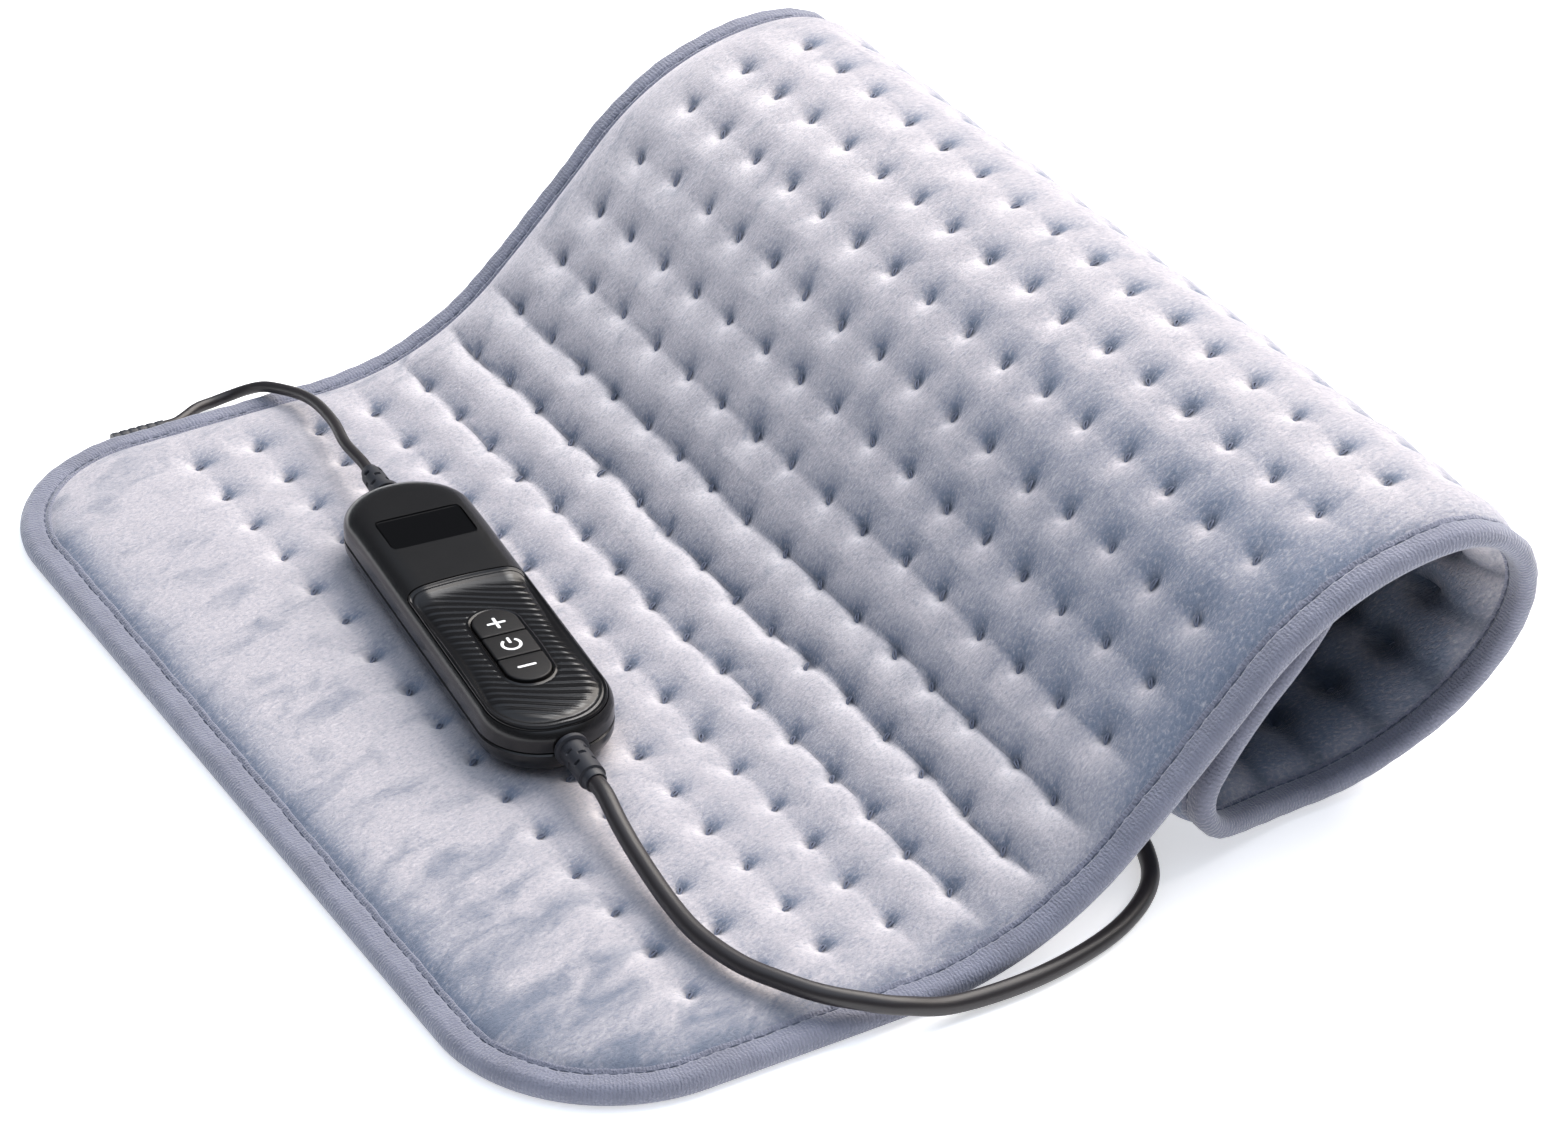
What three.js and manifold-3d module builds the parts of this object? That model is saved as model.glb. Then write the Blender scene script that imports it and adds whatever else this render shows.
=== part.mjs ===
// A heating pad with a hand controller. The pad lies flat at one end and is rolled up at the other.
// Millimetres, +Z up. The pad's length runs along +X towards the roll, its width along +Y.
import * as THREE from 'three';
import { mergeVertices } from 'three/addons/utils/BufferGeometryUtils.js';
import Module from 'manifold-3d';

const wasm = await Module();
wasm.setup();

// Pad
const PAD_WIDTH = 300;
const CORNER_RADIUS = 42;
const CORNER_STEPS = 6;
const TUFT_PITCH = 16.6;
const TUFTS_ACROSS = 16;
const TUFT_ROWS = 23;
const FRONT_MARGIN = 25.2; // front edge to the nearest tuft
const END_MARGIN = 51.2; // short edge to the nearest row of tufts
const HALF_PITCH = TUFT_PITCH / 2;

// The pad's line from its flat end to its rolled end: length and turn, in degrees, of each stretch
const PROFILE = [
  [94, 0], // flat on the table
  [59, 43], // curves up
  [44, 3], // slope
  [54, -46], // crest
  [41, -96], // over the top
  [34, -47], // down the far side
  [35, -43], // round on to the table
  [20, -8], // back along the table
  [18, -108], // turns up
  [26, -15], // inner end, under the slope
  [24, -25], // bends over with the crest
  [16, -17],
];
const PAD_LENGTH = PROFILE.reduce((sum, [length]) => sum + length, 0);
const CREST_AT = 251; // where the roll starts to run askew
const SKEW_RUN = 99;
const SKEW = 18; // how far the roll has drifted towards the back by its underside
const SKEW_BACK_AT = 355;
const SKEW_BACK_RUN = 45;
const SKEW_BACK = 9; // how far the inner end comes forward again

// Heights of the pad's layers, from its underside
const BOTTOM_TOP = 1.2;
const CARRIER = [1.5, 2.1];
const TOP_UNDER = 3.9;
const RIM_HEIGHT = 4.9;
const TUFT_HEIGHT = 5.0;
const PLAIN_HEIGHT = 7.5;
const SADDLE_HEIGHT = 7.2;
const CROWN_HEIGHT = 8.5;
const INNER_CROWN = -2.5; // the underside swells this far where it faces the hollow of the roll
const INNER_SADDLE = -1.6;
const INNER_TUFT = 0.2;
const SHOWN_ROWS = 17; // rows of tufts modelled on the top, up to the roll's far side
const INNER_FIRST_ROW = 14; // first row of tufts modelled on the underside, inside the roll

// Heater: the wire's runs end at the given reach from the long edges
const WIRE = { height: 3.0, diameter: 1.2, sides: 6, runs: 11, reach: 38, start: [40, PAD_WIDTH - 14] };
const CUTOUT = { width: 7, length: 14, across: PAD_WIDTH / 2 + 30 };
const SENSOR = { width: 3, length: 5, across: PAD_WIDTH / 2 - 30 };

// Edge binding, measured inwards from the pad's edge
const BINDING_WIDTH = 8;
const BINDING_HEIGHT = 5.5;
const BINDING_LIP = 5.2;
const BINDING_ROUND = 1.6;
const SLOT_DEPTH = 3;
const SLOT = [1.2, 2.4];
const GAP = 0.3; // clearance between touching pieces
const COVER_INSET = BINDING_WIDTH + GAP;
const CARRIER_INSET = SLOT_DEPTH + 1;

// Controller, in its own frame: X across, Y along towards the display, Z up
const CONTROLLER_PLACE = [72.3, 164, 8.8];
const CONTROLLER_YAW = -6;
const CASE = { length: 117, width: 32, height: 14, radius: 15.6 };
const CASE_EDGE = { size: 2.4, rise: 3.5 };
const CASE_WALL = 1.8;
const CASE_SPLIT = 5.6;
const CAVITY_TOP = 11.4;
const PANEL = { centre: -23, length: 64, width: 28.4, radius: 11, under: 12.5, top: 13.4 };
const WINDOW = { centre: 31.5, length: 13.5, width: 21.2, radius: 1, under: 12.5, top: 13.8, ledge: 1.4 };
const KEYS = { centre: -23.5, length: 31, width: 11, under: 11.9, top: 14.1, slit: 0.35, middle: 9.4 };
const SWITCH = { size: 6, top: 10, well: 2, wellFloor: 0.4, stem: 1.6, stemUnder: 9.6 };
const BOARD = { length: 82, width: 25, under: 6.6, top: 8.2, ribs: 32, ribWidth: 1.6 };
const BOARD_PARTS = {
  display_module: { size: [20, 12], depth: 2.6, place: [0, WINDOW.centre], above: true, colour: 'resin' },
  control_chip: { size: [8, 8], depth: 1.4, place: [0, 12], above: true, colour: 'resin' },
  dropper_capacitor: { size: [9, 17], depth: 4, place: [-6.5, -12], above: false, colour: 'amber' },
  triac: { size: [9, 7], depth: 3, place: [6, -18], above: false, colour: 'resin' },
};
const ROUND_PARTS = {
  smoothing_capacitor: { radius: 2, length: 11, place: [6.5, 2], colour: 'steel' },
  board_fuse: { radius: 1.7, length: 12, place: [-7, 12], colour: 'wire' },
};
const SUNK = 1; // height in the casing's floor from which its ribs and bosses stand up
const BOSS = { across: 9, along: 46, radius: 3, hole: 1.2, holeTop: 10.5, counterbore: 2.4, seat: 2.2 };
const SCREW = { under: 0.4, head: 2.0, neck: 2.0, shank: 0.85, tip: 9.6 };
const CORD_AXIS = 7; // height of both cord exits
const CORD_HOLE = 3.3;
const RELIEF = { collar: 4.2, collarLength: 1.6, stem: 3.0, clear: 1.1, mouthLength: 3 };
const PAD_RELIEF = { reach: 71.5, neck: 3.2, mouth: 2.9 };
const MAINS_RELIEF = { reach: 74, neck: 3.4, mouth: 3.4 };

// Cords
const MAINS_DIAMETER = 4.2;
const PAD_LEAD_DIAMETER = 2.9;
const COIL = { centre: [260, 358], start: 160, turns: 3.5, inner: 16.8, pitch: 4.8, floor: 3.0 };
const GLAND = { from: 54, to: 40, across: 302.1, height: 1.9, neck: 1.7, root: 1.85 };
const PLUG = { relief: 22, neck: 2.9, root: 4.6, taper: 17, body: 36, rear: 13, front: 27, thickness: 14.8, bevel: 2 };
const PIN = { span: 18.6, length: 19, radius: 2, tip: 1.1, tipLength: 1.5 };
const TIE = { clearance: 0.45, wall: 0.45, width: 6, radius: 2 };
const LOOP_STEPS = 24;
const LOOP_SIDES = 6;
const TUBE_SIDES = 8;
const ARC_POINTS = 2; // points that a shape's full circle gets for each curve segment

const COLOURS = {
  plush: { color: 0xb4b9c8, roughness: 0.95, metalness: 0 },
  binding: { color: 0x8e95a8, roughness: 0.9, metalness: 0 },
  fleece: { color: 0xe6e2d8, roughness: 0.95, metalness: 0 },
  wire: { color: 0xd8d4c8, roughness: 0.6, metalness: 0 },
  casing: { color: 0x232325, roughness: 0.5, metalness: 0 },
  gloss: { color: 0x1b1a1d, roughness: 0.2, metalness: 0 },
  rubber: { color: 0x2b2a2e, roughness: 0.6, metalness: 0 },
  cord: { color: 0x242326, roughness: 0.4, metalness: 0 },
  board: { color: 0x2f6b3c, roughness: 0.5, metalness: 0 },
  resin: { color: 0x17171a, roughness: 0.45, metalness: 0 },
  amber: { color: 0xb88a3a, roughness: 0.5, metalness: 0 },
  steel: { color: 0xb9bcc0, roughness: 0.35, metalness: 1 },
  brass: { color: 0xc9b06a, roughness: 0.3, metalness: 1 },
};

const object = new THREE.Group();
const controller = new THREE.Group();
controller.position.set(...CONTROLLER_PLACE);
controller.rotation.z = THREE.MathUtils.degToRad(CONTROLLER_YAW);
object.add(controller);

function add(parent, name, geometry, colour) {
  const mesh = new THREE.Mesh(geometry, new THREE.MeshStandardMaterial(COLOURS[colour]));
  mesh.name = name;
  parent.add(mesh);
  return mesh;
}

// Joining and cutting
function solid(geometry) {
  const bare = geometry.clone();
  bare.deleteAttribute('normal');
  bare.deleteAttribute('uv');
  const merged = mergeVertices(bare, 1e-4);
  const vertProperties = new Float32Array(merged.attributes.position.array);
  const triVerts = new Uint32Array(merged.index.array);
  return new wasm.Manifold(new wasm.Mesh({ numProp: 3, vertProperties, triVerts }));
}

function geometryOf(body) {
  const { vertProperties, triVerts } = body.getMesh();
  return meshGeometry(vertProperties, triVerts);
}

function meshGeometry(positions, triangles) {
  const geometry = new THREE.BufferGeometry();
  geometry.setAttribute('position', new THREE.BufferAttribute(new Float32Array(positions), 3));
  geometry.setIndex(Array.from(triangles));
  geometry.computeVertexNormals();
  return geometry;
}

// Plain shapes
function box(width, length, [under, top], x = 0, y = 0) {
  const geometry = new THREE.BoxGeometry(width, length, top - under);
  return geometry.translate(x, y, (under + top) / 2);
}

function upright(radius, [under, top], x = 0, y = 0, sides = 10) {
  const geometry = new THREE.CylinderGeometry(radius, radius, top - under, sides);
  return geometry.rotateX(Math.PI / 2).translate(x, y, (under + top) / 2);
}

function roundedRectangle(width, length, radius) {
  const x = width / 2 - radius;
  const y = length / 2 - radius;
  const shape = new THREE.Shape();
  shape.absarc(x, y, radius, 0, Math.PI / 2);
  shape.absarc(-x, y, radius, Math.PI / 2, Math.PI);
  shape.absarc(-x, -y, radius, Math.PI, Math.PI * 1.5);
  shape.absarc(x, -y, radius, Math.PI * 1.5, Math.PI * 2);
  return shape;
}

function plate({ width, length, radius, centre = 0 }, [under, top], curveSegments = 3) {
  const shape = roundedRectangle(width, length, radius);
  const geometry = new THREE.ExtrudeGeometry(shape, { depth: top - under, bevelEnabled: false, curveSegments });
  return geometry.translate(0, centre, under);
}

// A turned piece: points are [distance along the axis, radius], and the axis lies along +Y
function turned(points, sides = 12) {
  const profile = points.map(([along, radius]) => new THREE.Vector2(radius, along));
  return new THREE.LatheGeometry(profile, sides);
}

// The pad's surface
function profileAt(distance) {
  let [x, z, heading, left] = [0, 0, 0, distance];
  for (const [length, degrees] of PROFILE) {
    const run = Math.min(left, length);
    const half = THREE.MathUtils.degToRad(degrees) * (run / length) / 2;
    const chord = Math.abs(half) < 1e-9 ? run : run * Math.sin(half) / half;
    x += chord * Math.cos(heading + half);
    z += chord * Math.sin(heading + half);
    heading += 2 * half;
    left -= run;
  }
  return { x, z, normal: [-Math.sin(heading), Math.cos(heading)] };
}

function skewAt(distance) {
  const drift = SKEW * THREE.MathUtils.smoothstep(distance, CREST_AT, CREST_AT + SKEW_RUN);
  return drift - SKEW_BACK * THREE.MathUtils.smoothstep(distance, SKEW_BACK_AT, SKEW_BACK_AT + SKEW_BACK_RUN);
}

// A place on the pad: distance along its length, across its width, and height over its underside
function padPoint(along, across, height) {
  const { x, z, normal } = profileAt(along);
  return [x + normal[0] * height, across + skewAt(along), z + normal[1] * height];
}

// The pad is pressed flat where the roll rests on the table
function pressed(along, height) {
  const { z, normal } = profileAt(along);
  const room = normal[1] < -0.3 ? z / -normal[1] : Infinity;
  return Math.min(height, room);
}

function frontEdge(along, inset) {
  const toEnd = Math.min(along, PAD_LENGTH - along);
  if (toEnd >= CORNER_RADIUS) return inset;
  const reach = CORNER_RADIUS - inset;
  const short = CORNER_RADIUS - toEnd;
  return CORNER_RADIUS - Math.sqrt(Math.max(reach * reach - short * short, 0));
}

// Distances along the pad at which every layer has a row of points
function stations(inset) {
  const corner = [];
  for (let step = 0; step <= CORNER_STEPS; step++) {
    const turn = (Math.PI / 2) * (step / CORNER_STEPS);
    corner.push(CORNER_RADIUS - (CORNER_RADIUS - inset) * Math.cos(turn));
  }
  const rows = Array.from({ length: 2 * TUFT_ROWS }, (_, half) => END_MARGIN + (half - 1) * HALF_PITCH);
  const farCorner = corner.map((distance) => PAD_LENGTH - distance).reverse();
  return [...corner, ...rows, ...farCorner];
}

function rowOf(along) {
  return (along - END_MARGIN) / TUFT_PITCH;
}

// Points across the pad at one station: [across, height] pairs. A row of crowns lies on each side of
// every row of tufts, and the outermost of these rows are plain
function tuftedRow(along, inset, { rim, plain, tuft, saddle, crown, first, last }) {
  const edge = frontEdge(along, inset);
  const row = rowOf(along);
  const points = [[edge, rim]];
  if (row > first - 0.51 && row < last + 0.51) {
    const onTufts = Math.abs(row - Math.round(row)) < 0.01;
    const border = row < first || row > last;
    for (let half = -1; half <= 2 * TUFTS_ACROSS - 1; half++) {
      const across = FRONT_MARGIN + half * HALF_PITCH;
      const between = half % 2 !== 0;
      const outer = half === -1 || half === 2 * TUFTS_ACROSS - 1;
      if (onTufts) points.push([across, outer ? plain : between ? saddle : tuft]);
      if (!onTufts && between) points.push([across, outer || border ? plain : crown]);
    }
  } else {
    const shoulder = edge + HALF_PITCH;
    points.push([shoulder, plain], [PAD_WIDTH - shoulder, plain]);
  }
  points.push([PAD_WIDTH - edge, rim]);
  return points;
}

function flatRow(along, inset, height) {
  const edge = frontEdge(along, inset);
  return [[edge, height], [PAD_WIDTH - edge, height]];
}

// A closed sheet between an upper and a lower row of points at each station
function sheet(inset, upperRow, lowerRow) {
  const positions = [];
  const triangles = [];
  const put = (along, row) => row.map(([across, height]) => {
    positions.push(...padPoint(along, across, height));
    return { across, index: positions.length / 3 - 1 };
  });
  // Fills the strip between two rows that both run from the front edge to the back edge, always
  // taking the side whose next step has its middle nearer the front
  const stepMiddle = (row, k) => (k < row.length - 1 ? (row[k].across + row[k + 1].across) / 2 : Infinity);
  const fill = (near, far) => {
    let [a, b] = [0, 0];
    while (a < near.length - 1 || b < far.length - 1) {
      if (stepMiddle(near, a) <= stepMiddle(far, b)) {
        triangles.push(near[a].index, far[b].index, near[a + 1].index);
        a += 1;
      } else {
        triangles.push(near[a].index, far[b].index, far[b + 1].index);
        b += 1;
      }
    }
  };
  const rows = stations(inset).map((along) => {
    return { upper: put(along, upperRow(along)), lower: put(along, lowerRow(along)) };
  });
  for (let k = 0; k < rows.length - 1; k++) {
    const [here, next] = [rows[k], rows[k + 1]];
    fill(here.upper, next.upper);
    fill(next.lower, here.lower);
    const walls = [[here.lower[0], here.upper[0], next.upper[0], next.lower[0]],
      [next.lower.at(-1), next.upper.at(-1), here.upper.at(-1), here.lower.at(-1)]];
    for (const [a, b, c, d] of walls) {
      triangles.push(a.index, d.index, b.index, b.index, d.index, c.index);
    }
  }
  fill(rows[0].lower, rows[0].upper);
  fill(rows.at(-1).upper, rows.at(-1).lower);
  return meshGeometry(positions, triangles);
}

function topCover() {
  const heights = { rim: RIM_HEIGHT, plain: PLAIN_HEIGHT, tuft: TUFT_HEIGHT, saddle: SADDLE_HEIGHT,
    crown: CROWN_HEIGHT, first: 0, last: SHOWN_ROWS - 1 };
  const upper = (along) => tuftedRow(along, COVER_INSET, heights)
    .map(([across, height]) => [across, pressed(along, height)]);
  return sheet(COVER_INSET, upper, (along) => flatRow(along, COVER_INSET, TOP_UNDER));
}

function bottomCover() {
  const heights = { rim: 0, plain: 0, tuft: INNER_TUFT, saddle: INNER_SADDLE,
    crown: INNER_CROWN, first: INNER_FIRST_ROW, last: TUFT_ROWS - 1 };
  const lower = (along) => tuftedRow(along, COVER_INSET, heights);
  return sheet(COVER_INSET, (along) => flatRow(along, COVER_INSET, BOTTOM_TOP), lower);
}

function heaterCarrier() {
  const row = (height) => (along) => flatRow(along, CARRIER_INSET, height);
  return sheet(CARRIER_INSET, row(CARRIER[1]), row(CARRIER[0]));
}

// The pad's outline as [along, across, inward along, inward across], anticlockwise from the front edge
function outline() {
  const points = [];
  const corner = (along, across, startDegrees) => {
    for (let step = 0; step <= CORNER_STEPS; step++) {
      const turn = THREE.MathUtils.degToRad(startDegrees + 90 * (step / CORNER_STEPS));
      const [c, s] = [Math.cos(turn), Math.sin(turn)];
      points.push([along + CORNER_RADIUS * c, across + CORNER_RADIUS * s, -c, -s]);
    }
  };
  const bent = stations(COVER_INSET)
    .filter((along) => along > PROFILE[0][0] && along < PAD_LENGTH - CORNER_RADIUS);
  bent.unshift(PROFILE[0][0]);
  const [far, back] = [PAD_LENGTH - CORNER_RADIUS, PAD_WIDTH - CORNER_RADIUS];
  bent.forEach((along) => points.push([along, 0, 0, 1]));
  corner(far, CORNER_RADIUS, -90);
  corner(far, back, 0);
  bent.reverse().forEach((along) => points.push([along, PAD_WIDTH, 0, -1]));
  corner(CORNER_RADIUS, back, 90);
  corner(CORNER_RADIUS, CORNER_RADIUS, 180);
  return points;
}

// A section of [inward, height] points carried round the pad's edge
function edgeBinding() {
  const section = [
    [BINDING_WIDTH, BINDING_LIP], [BINDING_ROUND, BINDING_HEIGHT], [0, BINDING_HEIGHT / 2],
    [BINDING_ROUND, 0], [BINDING_WIDTH, 0], [BINDING_WIDTH, SLOT[0]],
    [SLOT_DEPTH, SLOT[0]], [SLOT_DEPTH, SLOT[1]], [BINDING_WIDTH, SLOT[1]],
  ];
  const rings = outline().map(([along, across, inAlong, inAcross]) => section.map(([inward, height]) => {
    return padPoint(along + inAlong * inward, across + inAcross * inward, height);
  }));
  return loft([...rings, rings[0]], false);
}

// Skins a row of rings of equal length, with flat ends where they are asked for
function loft(rings, capped = true) {
  const count = rings[0].length;
  const positions = rings.flat(2);
  const triangles = [];
  for (let k = 0; k < rings.length - 1; k++) {
    for (let i = 0; i < count; i++) {
      const [a, b] = [k * count + i, k * count + (i + 1) % count];
      triangles.push(a, b, a + count, b, b + count, a + count);
    }
  }
  const last = (rings.length - 1) * count;
  for (let i = 1; capped && i < count - 1; i++) {
    triangles.push(0, i + 1, i, last, last + i, last + i + 1);
  }
  return meshGeometry(positions, triangles);
}

// A tube of few sides through a list of points, each with its own upward direction
function tubeThrough(points, ups, diameter, sides) {
  const rings = points.map((point, k) => {
    const before = points[Math.max(k - 1, 0)];
    const after = points[Math.min(k + 1, points.length - 1)];
    const direction = after.clone().sub(before).normalize();
    const side = direction.clone().cross(ups[k]).normalize();
    const up = side.clone().cross(direction);
    return Array.from({ length: sides }, (_, i) => {
      const turn = Math.PI * 2 * ((i + 0.5) / sides);
      const ring = point.clone();
      ring.addScaledVector(side, Math.cos(turn) * diameter / 2);
      ring.addScaledVector(up, -Math.sin(turn) * diameter / 2);
      return ring.toArray();
    });
  });
  return loft(rings);
}

// Heating wire: straight runs across the pad, joined by half circles
function heatingWirePath() {
  const { runs, reach, start: firstPlace } = WIRE;
  const spacing = 2 * TUFT_PITCH;
  const bulge = spacing / 2;
  const places = [firstPlace];
  for (let run = 0; run < runs; run++) {
    const along = END_MARGIN + HALF_PITCH + run * spacing;
    const towardsFront = run % 2 === 0;
    const [start, end] = towardsFront ? [PAD_WIDTH - reach, reach] : [reach, PAD_WIDTH - reach];
    places.push([along, start], [along, end]);
    if (run === runs - 1) break;
    for (const step of [1, 2, 3]) {
      const offset = step * HALF_PITCH;
      const out = Math.sqrt(bulge * bulge - (offset - bulge) ** 2);
      places.push([along + offset, towardsFront ? end - out : end + out]);
    }
  }
  return places;
}

function addPad() {
  add(object, 'top_cover', topCover(), 'plush');
  add(object, 'bottom_cover', bottomCover(), 'plush');
  add(object, 'heater_carrier', heaterCarrier(), 'fleece');
  add(object, 'edge_binding', edgeBinding(), 'binding');
  const path = heatingWirePath();
  const points = path.map(([along, across]) => new THREE.Vector3(...padPoint(along, across, WIRE.height)));
  const ups = path.map(([along]) => {
    const { normal } = profileAt(along);
    return new THREE.Vector3(normal[0], 0, normal[1]);
  });
  add(object, 'heating_wire', tubeThrough(points, ups, WIRE.diameter, WIRE.sides), 'wire');
  const partHeight = [CARRIER[1] + GAP, TOP_UNDER - GAP];
  const between = END_MARGIN + TUFT_PITCH + HALF_PITCH;
  add(object, 'thermal_cutout', box(CUTOUT.width, CUTOUT.length, partHeight, between, CUTOUT.across), 'resin');
  add(object, 'temperature_sensor', box(SENSOR.width, SENSOR.length, partHeight, between, SENSOR.across), 'amber');
}

// Controller
function caseBlank() {
  const { length, width, height, radius } = CASE;
  const { size, rise } = CASE_EDGE;
  const shape = roundedRectangle(width - 2 * size, length - 2 * size, radius - size);
  const geometry = new THREE.ExtrudeGeometry(shape, {
    depth: height - 2 * rise, bevelThickness: rise, bevelSize: size, bevelSegments: 3, curveSegments: 4,
  });
  return solid(geometry.translate(0, 0, rise));
}

function caseCavity() {
  const wall = 2 * CASE_WALL;
  const inner = { width: CASE.width - wall, length: CASE.length - wall, radius: CASE.radius - CASE_WALL };
  return solid(plate(inner, [CASE_WALL, CAVITY_TOP]));
}

function cordHole() {
  const hole = new THREE.CylinderGeometry(CORD_HOLE, CORD_HOLE, CASE.length + 2 * CASE_WALL, 12);
  return solid(hole.translate(0, 0, CORD_AXIS));
}

function bossPlaces() {
  const { across, along } = BOSS;
  return [[across, along], [-across, along], [-across, -along], [across, -along]];
}

const EVERYWHERE = 200; // larger than the controller each way

function lowerCasing() {
  const below = solid(box(EVERYWHERE, EVERYWHERE, [-EVERYWHERE, CASE_SPLIT]));
  let body = caseBlank().intersect(below).subtract(caseCavity());
  for (const [x, y] of bossPlaces()) body = body.add(solid(upright(BOSS.radius, [SUNK, CASE_SPLIT], x, y)));
  const ribSpan = CASE.width - 2 * CASE_WALL - 1;
  for (const y of [-BOARD.ribs, BOARD.ribs]) {
    body = body.add(solid(box(ribSpan, BOARD.ribWidth, [SUNK, BOARD.under - GAP], 0, y)));
  }
  for (const [x, y] of bossPlaces()) {
    body = body.subtract(solid(upright(BOSS.hole, [-SUNK, BOARD.under], x, y)));
    body = body.subtract(solid(upright(BOSS.counterbore, [-SUNK, BOSS.seat], x, y)));
  }
  return geometryOf(body.subtract(cordHole()));
}

function keyOutline(clearance) {
  const width = KEYS.width + 2 * clearance;
  return { width, length: KEYS.length + 2 * clearance, radius: width / 2 - 0.01, centre: KEYS.centre };
}

function upperCasing() {
  const above = solid(box(EVERYWHERE, EVERYWHERE, [CASE_SPLIT + GAP, EVERYWHERE]));
  let body = caseBlank().intersect(above).subtract(caseCavity());
  for (const [x, y] of bossPlaces()) {
    body = body.add(solid(upright(BOSS.radius, [CASE_SPLIT + 2 * GAP, CAVITY_TOP + GAP], x, y)));
    body = body.subtract(solid(upright(BOSS.hole, [0, BOSS.holeTop], x, y)));
  }
  const recess = { ...PANEL, width: PANEL.width + 2 * GAP, length: PANEL.length + 2 * GAP };
  body = body.subtract(solid(plate(recess, [PANEL.under - GAP, EVERYWHERE])));
  body = body.subtract(solid(plate(keyOutline(GAP), [CASE_SPLIT, EVERYWHERE])));
  const pocket = { ...WINDOW, width: WINDOW.width + 2 * GAP, length: WINDOW.length + 2 * GAP };
  body = body.subtract(solid(plate(pocket, [WINDOW.under - GAP, EVERYWHERE], 1)));
  const view = [WINDOW.width - 2 * WINDOW.ledge, WINDOW.length - 2 * WINDOW.ledge];
  body = body.subtract(solid(box(...view, [CASE_SPLIT, EVERYWHERE], 0, WINDOW.centre)));
  return geometryOf(body.subtract(cordHole()));
}

function controlPanel() {
  const opening = solid(plate(keyOutline(GAP), [CASE_SPLIT, EVERYWHERE]));
  return geometryOf(solid(plate(PANEL, [PANEL.under, PANEL.top])).subtract(opening));
}

// The three keys fill one rounded opening, parted by two slits
function keys() {
  const whole = solid(plate(keyOutline(0), [KEYS.under, KEYS.top], 4));
  const half = KEYS.middle / 2;
  const end = KEYS.length;
  const spans = {
    plus_key: [KEYS.centre + half + KEYS.slit, KEYS.centre + end],
    power_key: [KEYS.centre - half, KEYS.centre + half],
    minus_key: [KEYS.centre - end, KEYS.centre - half - KEYS.slit],
  };
  for (const [name, [from, to]] of Object.entries(spans)) {
    const part = solid(box(EVERYWHERE, to - from, [0, EVERYWHERE], 0, (from + to) / 2));
    add(controller, name, geometryOf(whole.intersect(part)), 'rubber');
  }
}

function switches() {
  const { size, top, well, wellFloor, stem, stemUnder } = SWITCH;
  const under = BOARD.top + GAP;
  ['plus', 'power', 'minus'].forEach((key, index) => {
    const y = KEYS.centre + (1 - index) * KEYS.middle;
    const hollow = solid(upright(well, [under + wellFloor, EVERYWHERE], 0, y, 12));
    const body = solid(box(size, size, [under, top], 0, y)).subtract(hollow);
    add(controller, `${key}_switch`, geometryOf(body), 'resin');
    add(controller, `${key}_switch_stem`, upright(stem, [stemUnder, KEYS.under - GAP], 0, y, 10), 'amber');
  });
}

function boardParts() {
  const onTop = BOARD.top + GAP;
  const underneath = BOARD.under - GAP;
  add(controller, 'circuit_board', box(BOARD.width, BOARD.length, [BOARD.under, BOARD.top]), 'board');
  for (const [name, { size, depth, place, above, colour }] of Object.entries(BOARD_PARTS)) {
    const heights = above ? [onTop, onTop + depth] : [underneath - depth, underneath];
    add(controller, name, box(...size, heights, ...place), colour);
  }
  for (const [name, { radius, length, place, colour }] of Object.entries(ROUND_PARTS)) {
    const geometry = new THREE.CylinderGeometry(radius, radius, length, 12);
    add(controller, name, geometry.translate(...place, underneath - radius), colour);
  }
}

function screws() {
  const { under, head, neck, shank, tip } = SCREW;
  const points = [[under, 0], [under, head], [neck, head], [neck, shank], [tip, shank], [tip, 0]];
  bossPlaces().forEach(([x, y], index) => {
    const geometry = turned(points, 10).rotateX(Math.PI / 2).translate(x, y, 0);
    add(controller, `casing_screw_${index + 1}`, geometry, 'steel');
  });
}

// A moulded sleeve held by a collar inside the casing. Its free end stands at the given reach
function strainRelief({ reach, neck, mouth }) {
  const { collar, collarLength, stem, clear, mouthLength } = RELIEF;
  const wallIn = CASE.length / 2 - CASE_WALL - clear; // clear of the rounded end
  const wallOut = CASE.length / 2 + GAP;
  const points = [
    [wallIn - collarLength, 0], [wallIn - collarLength, collar], [wallIn, collar], [wallIn, stem], [wallOut, stem],
    [wallOut, neck], [reach - mouthLength, mouth], [reach, mouth], [reach, 0],
  ];
  return turned(points, 14).translate(0, 0, CORD_AXIS);
}

function addController() {
  add(controller, 'lower_casing', lowerCasing(), 'casing');
  add(controller, 'upper_casing', upperCasing(), 'casing');
  add(controller, 'control_panel', controlPanel(), 'gloss');
  add(controller, 'display_window', plate(WINDOW, [WINDOW.under, WINDOW.top], 1), 'gloss');
  keys();
  switches();
  boardParts();
  screws();
  add(controller, 'pad_strain_relief', strainRelief(PAD_RELIEF), 'rubber');
  add(controller, 'mains_strain_relief', strainRelief(MAINS_RELIEF).rotateZ(Math.PI), 'rubber');
}

// Cords

// The point on the controller's long axis at the height of the cords
function onController(along) {
  const yaw = THREE.MathUtils.degToRad(CONTROLLER_YAW);
  const [x, y, z] = CONTROLLER_PLACE;
  return [x - Math.sin(yaw) * along, y + Math.cos(yaw) * along, z + CORD_AXIS];
}

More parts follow.
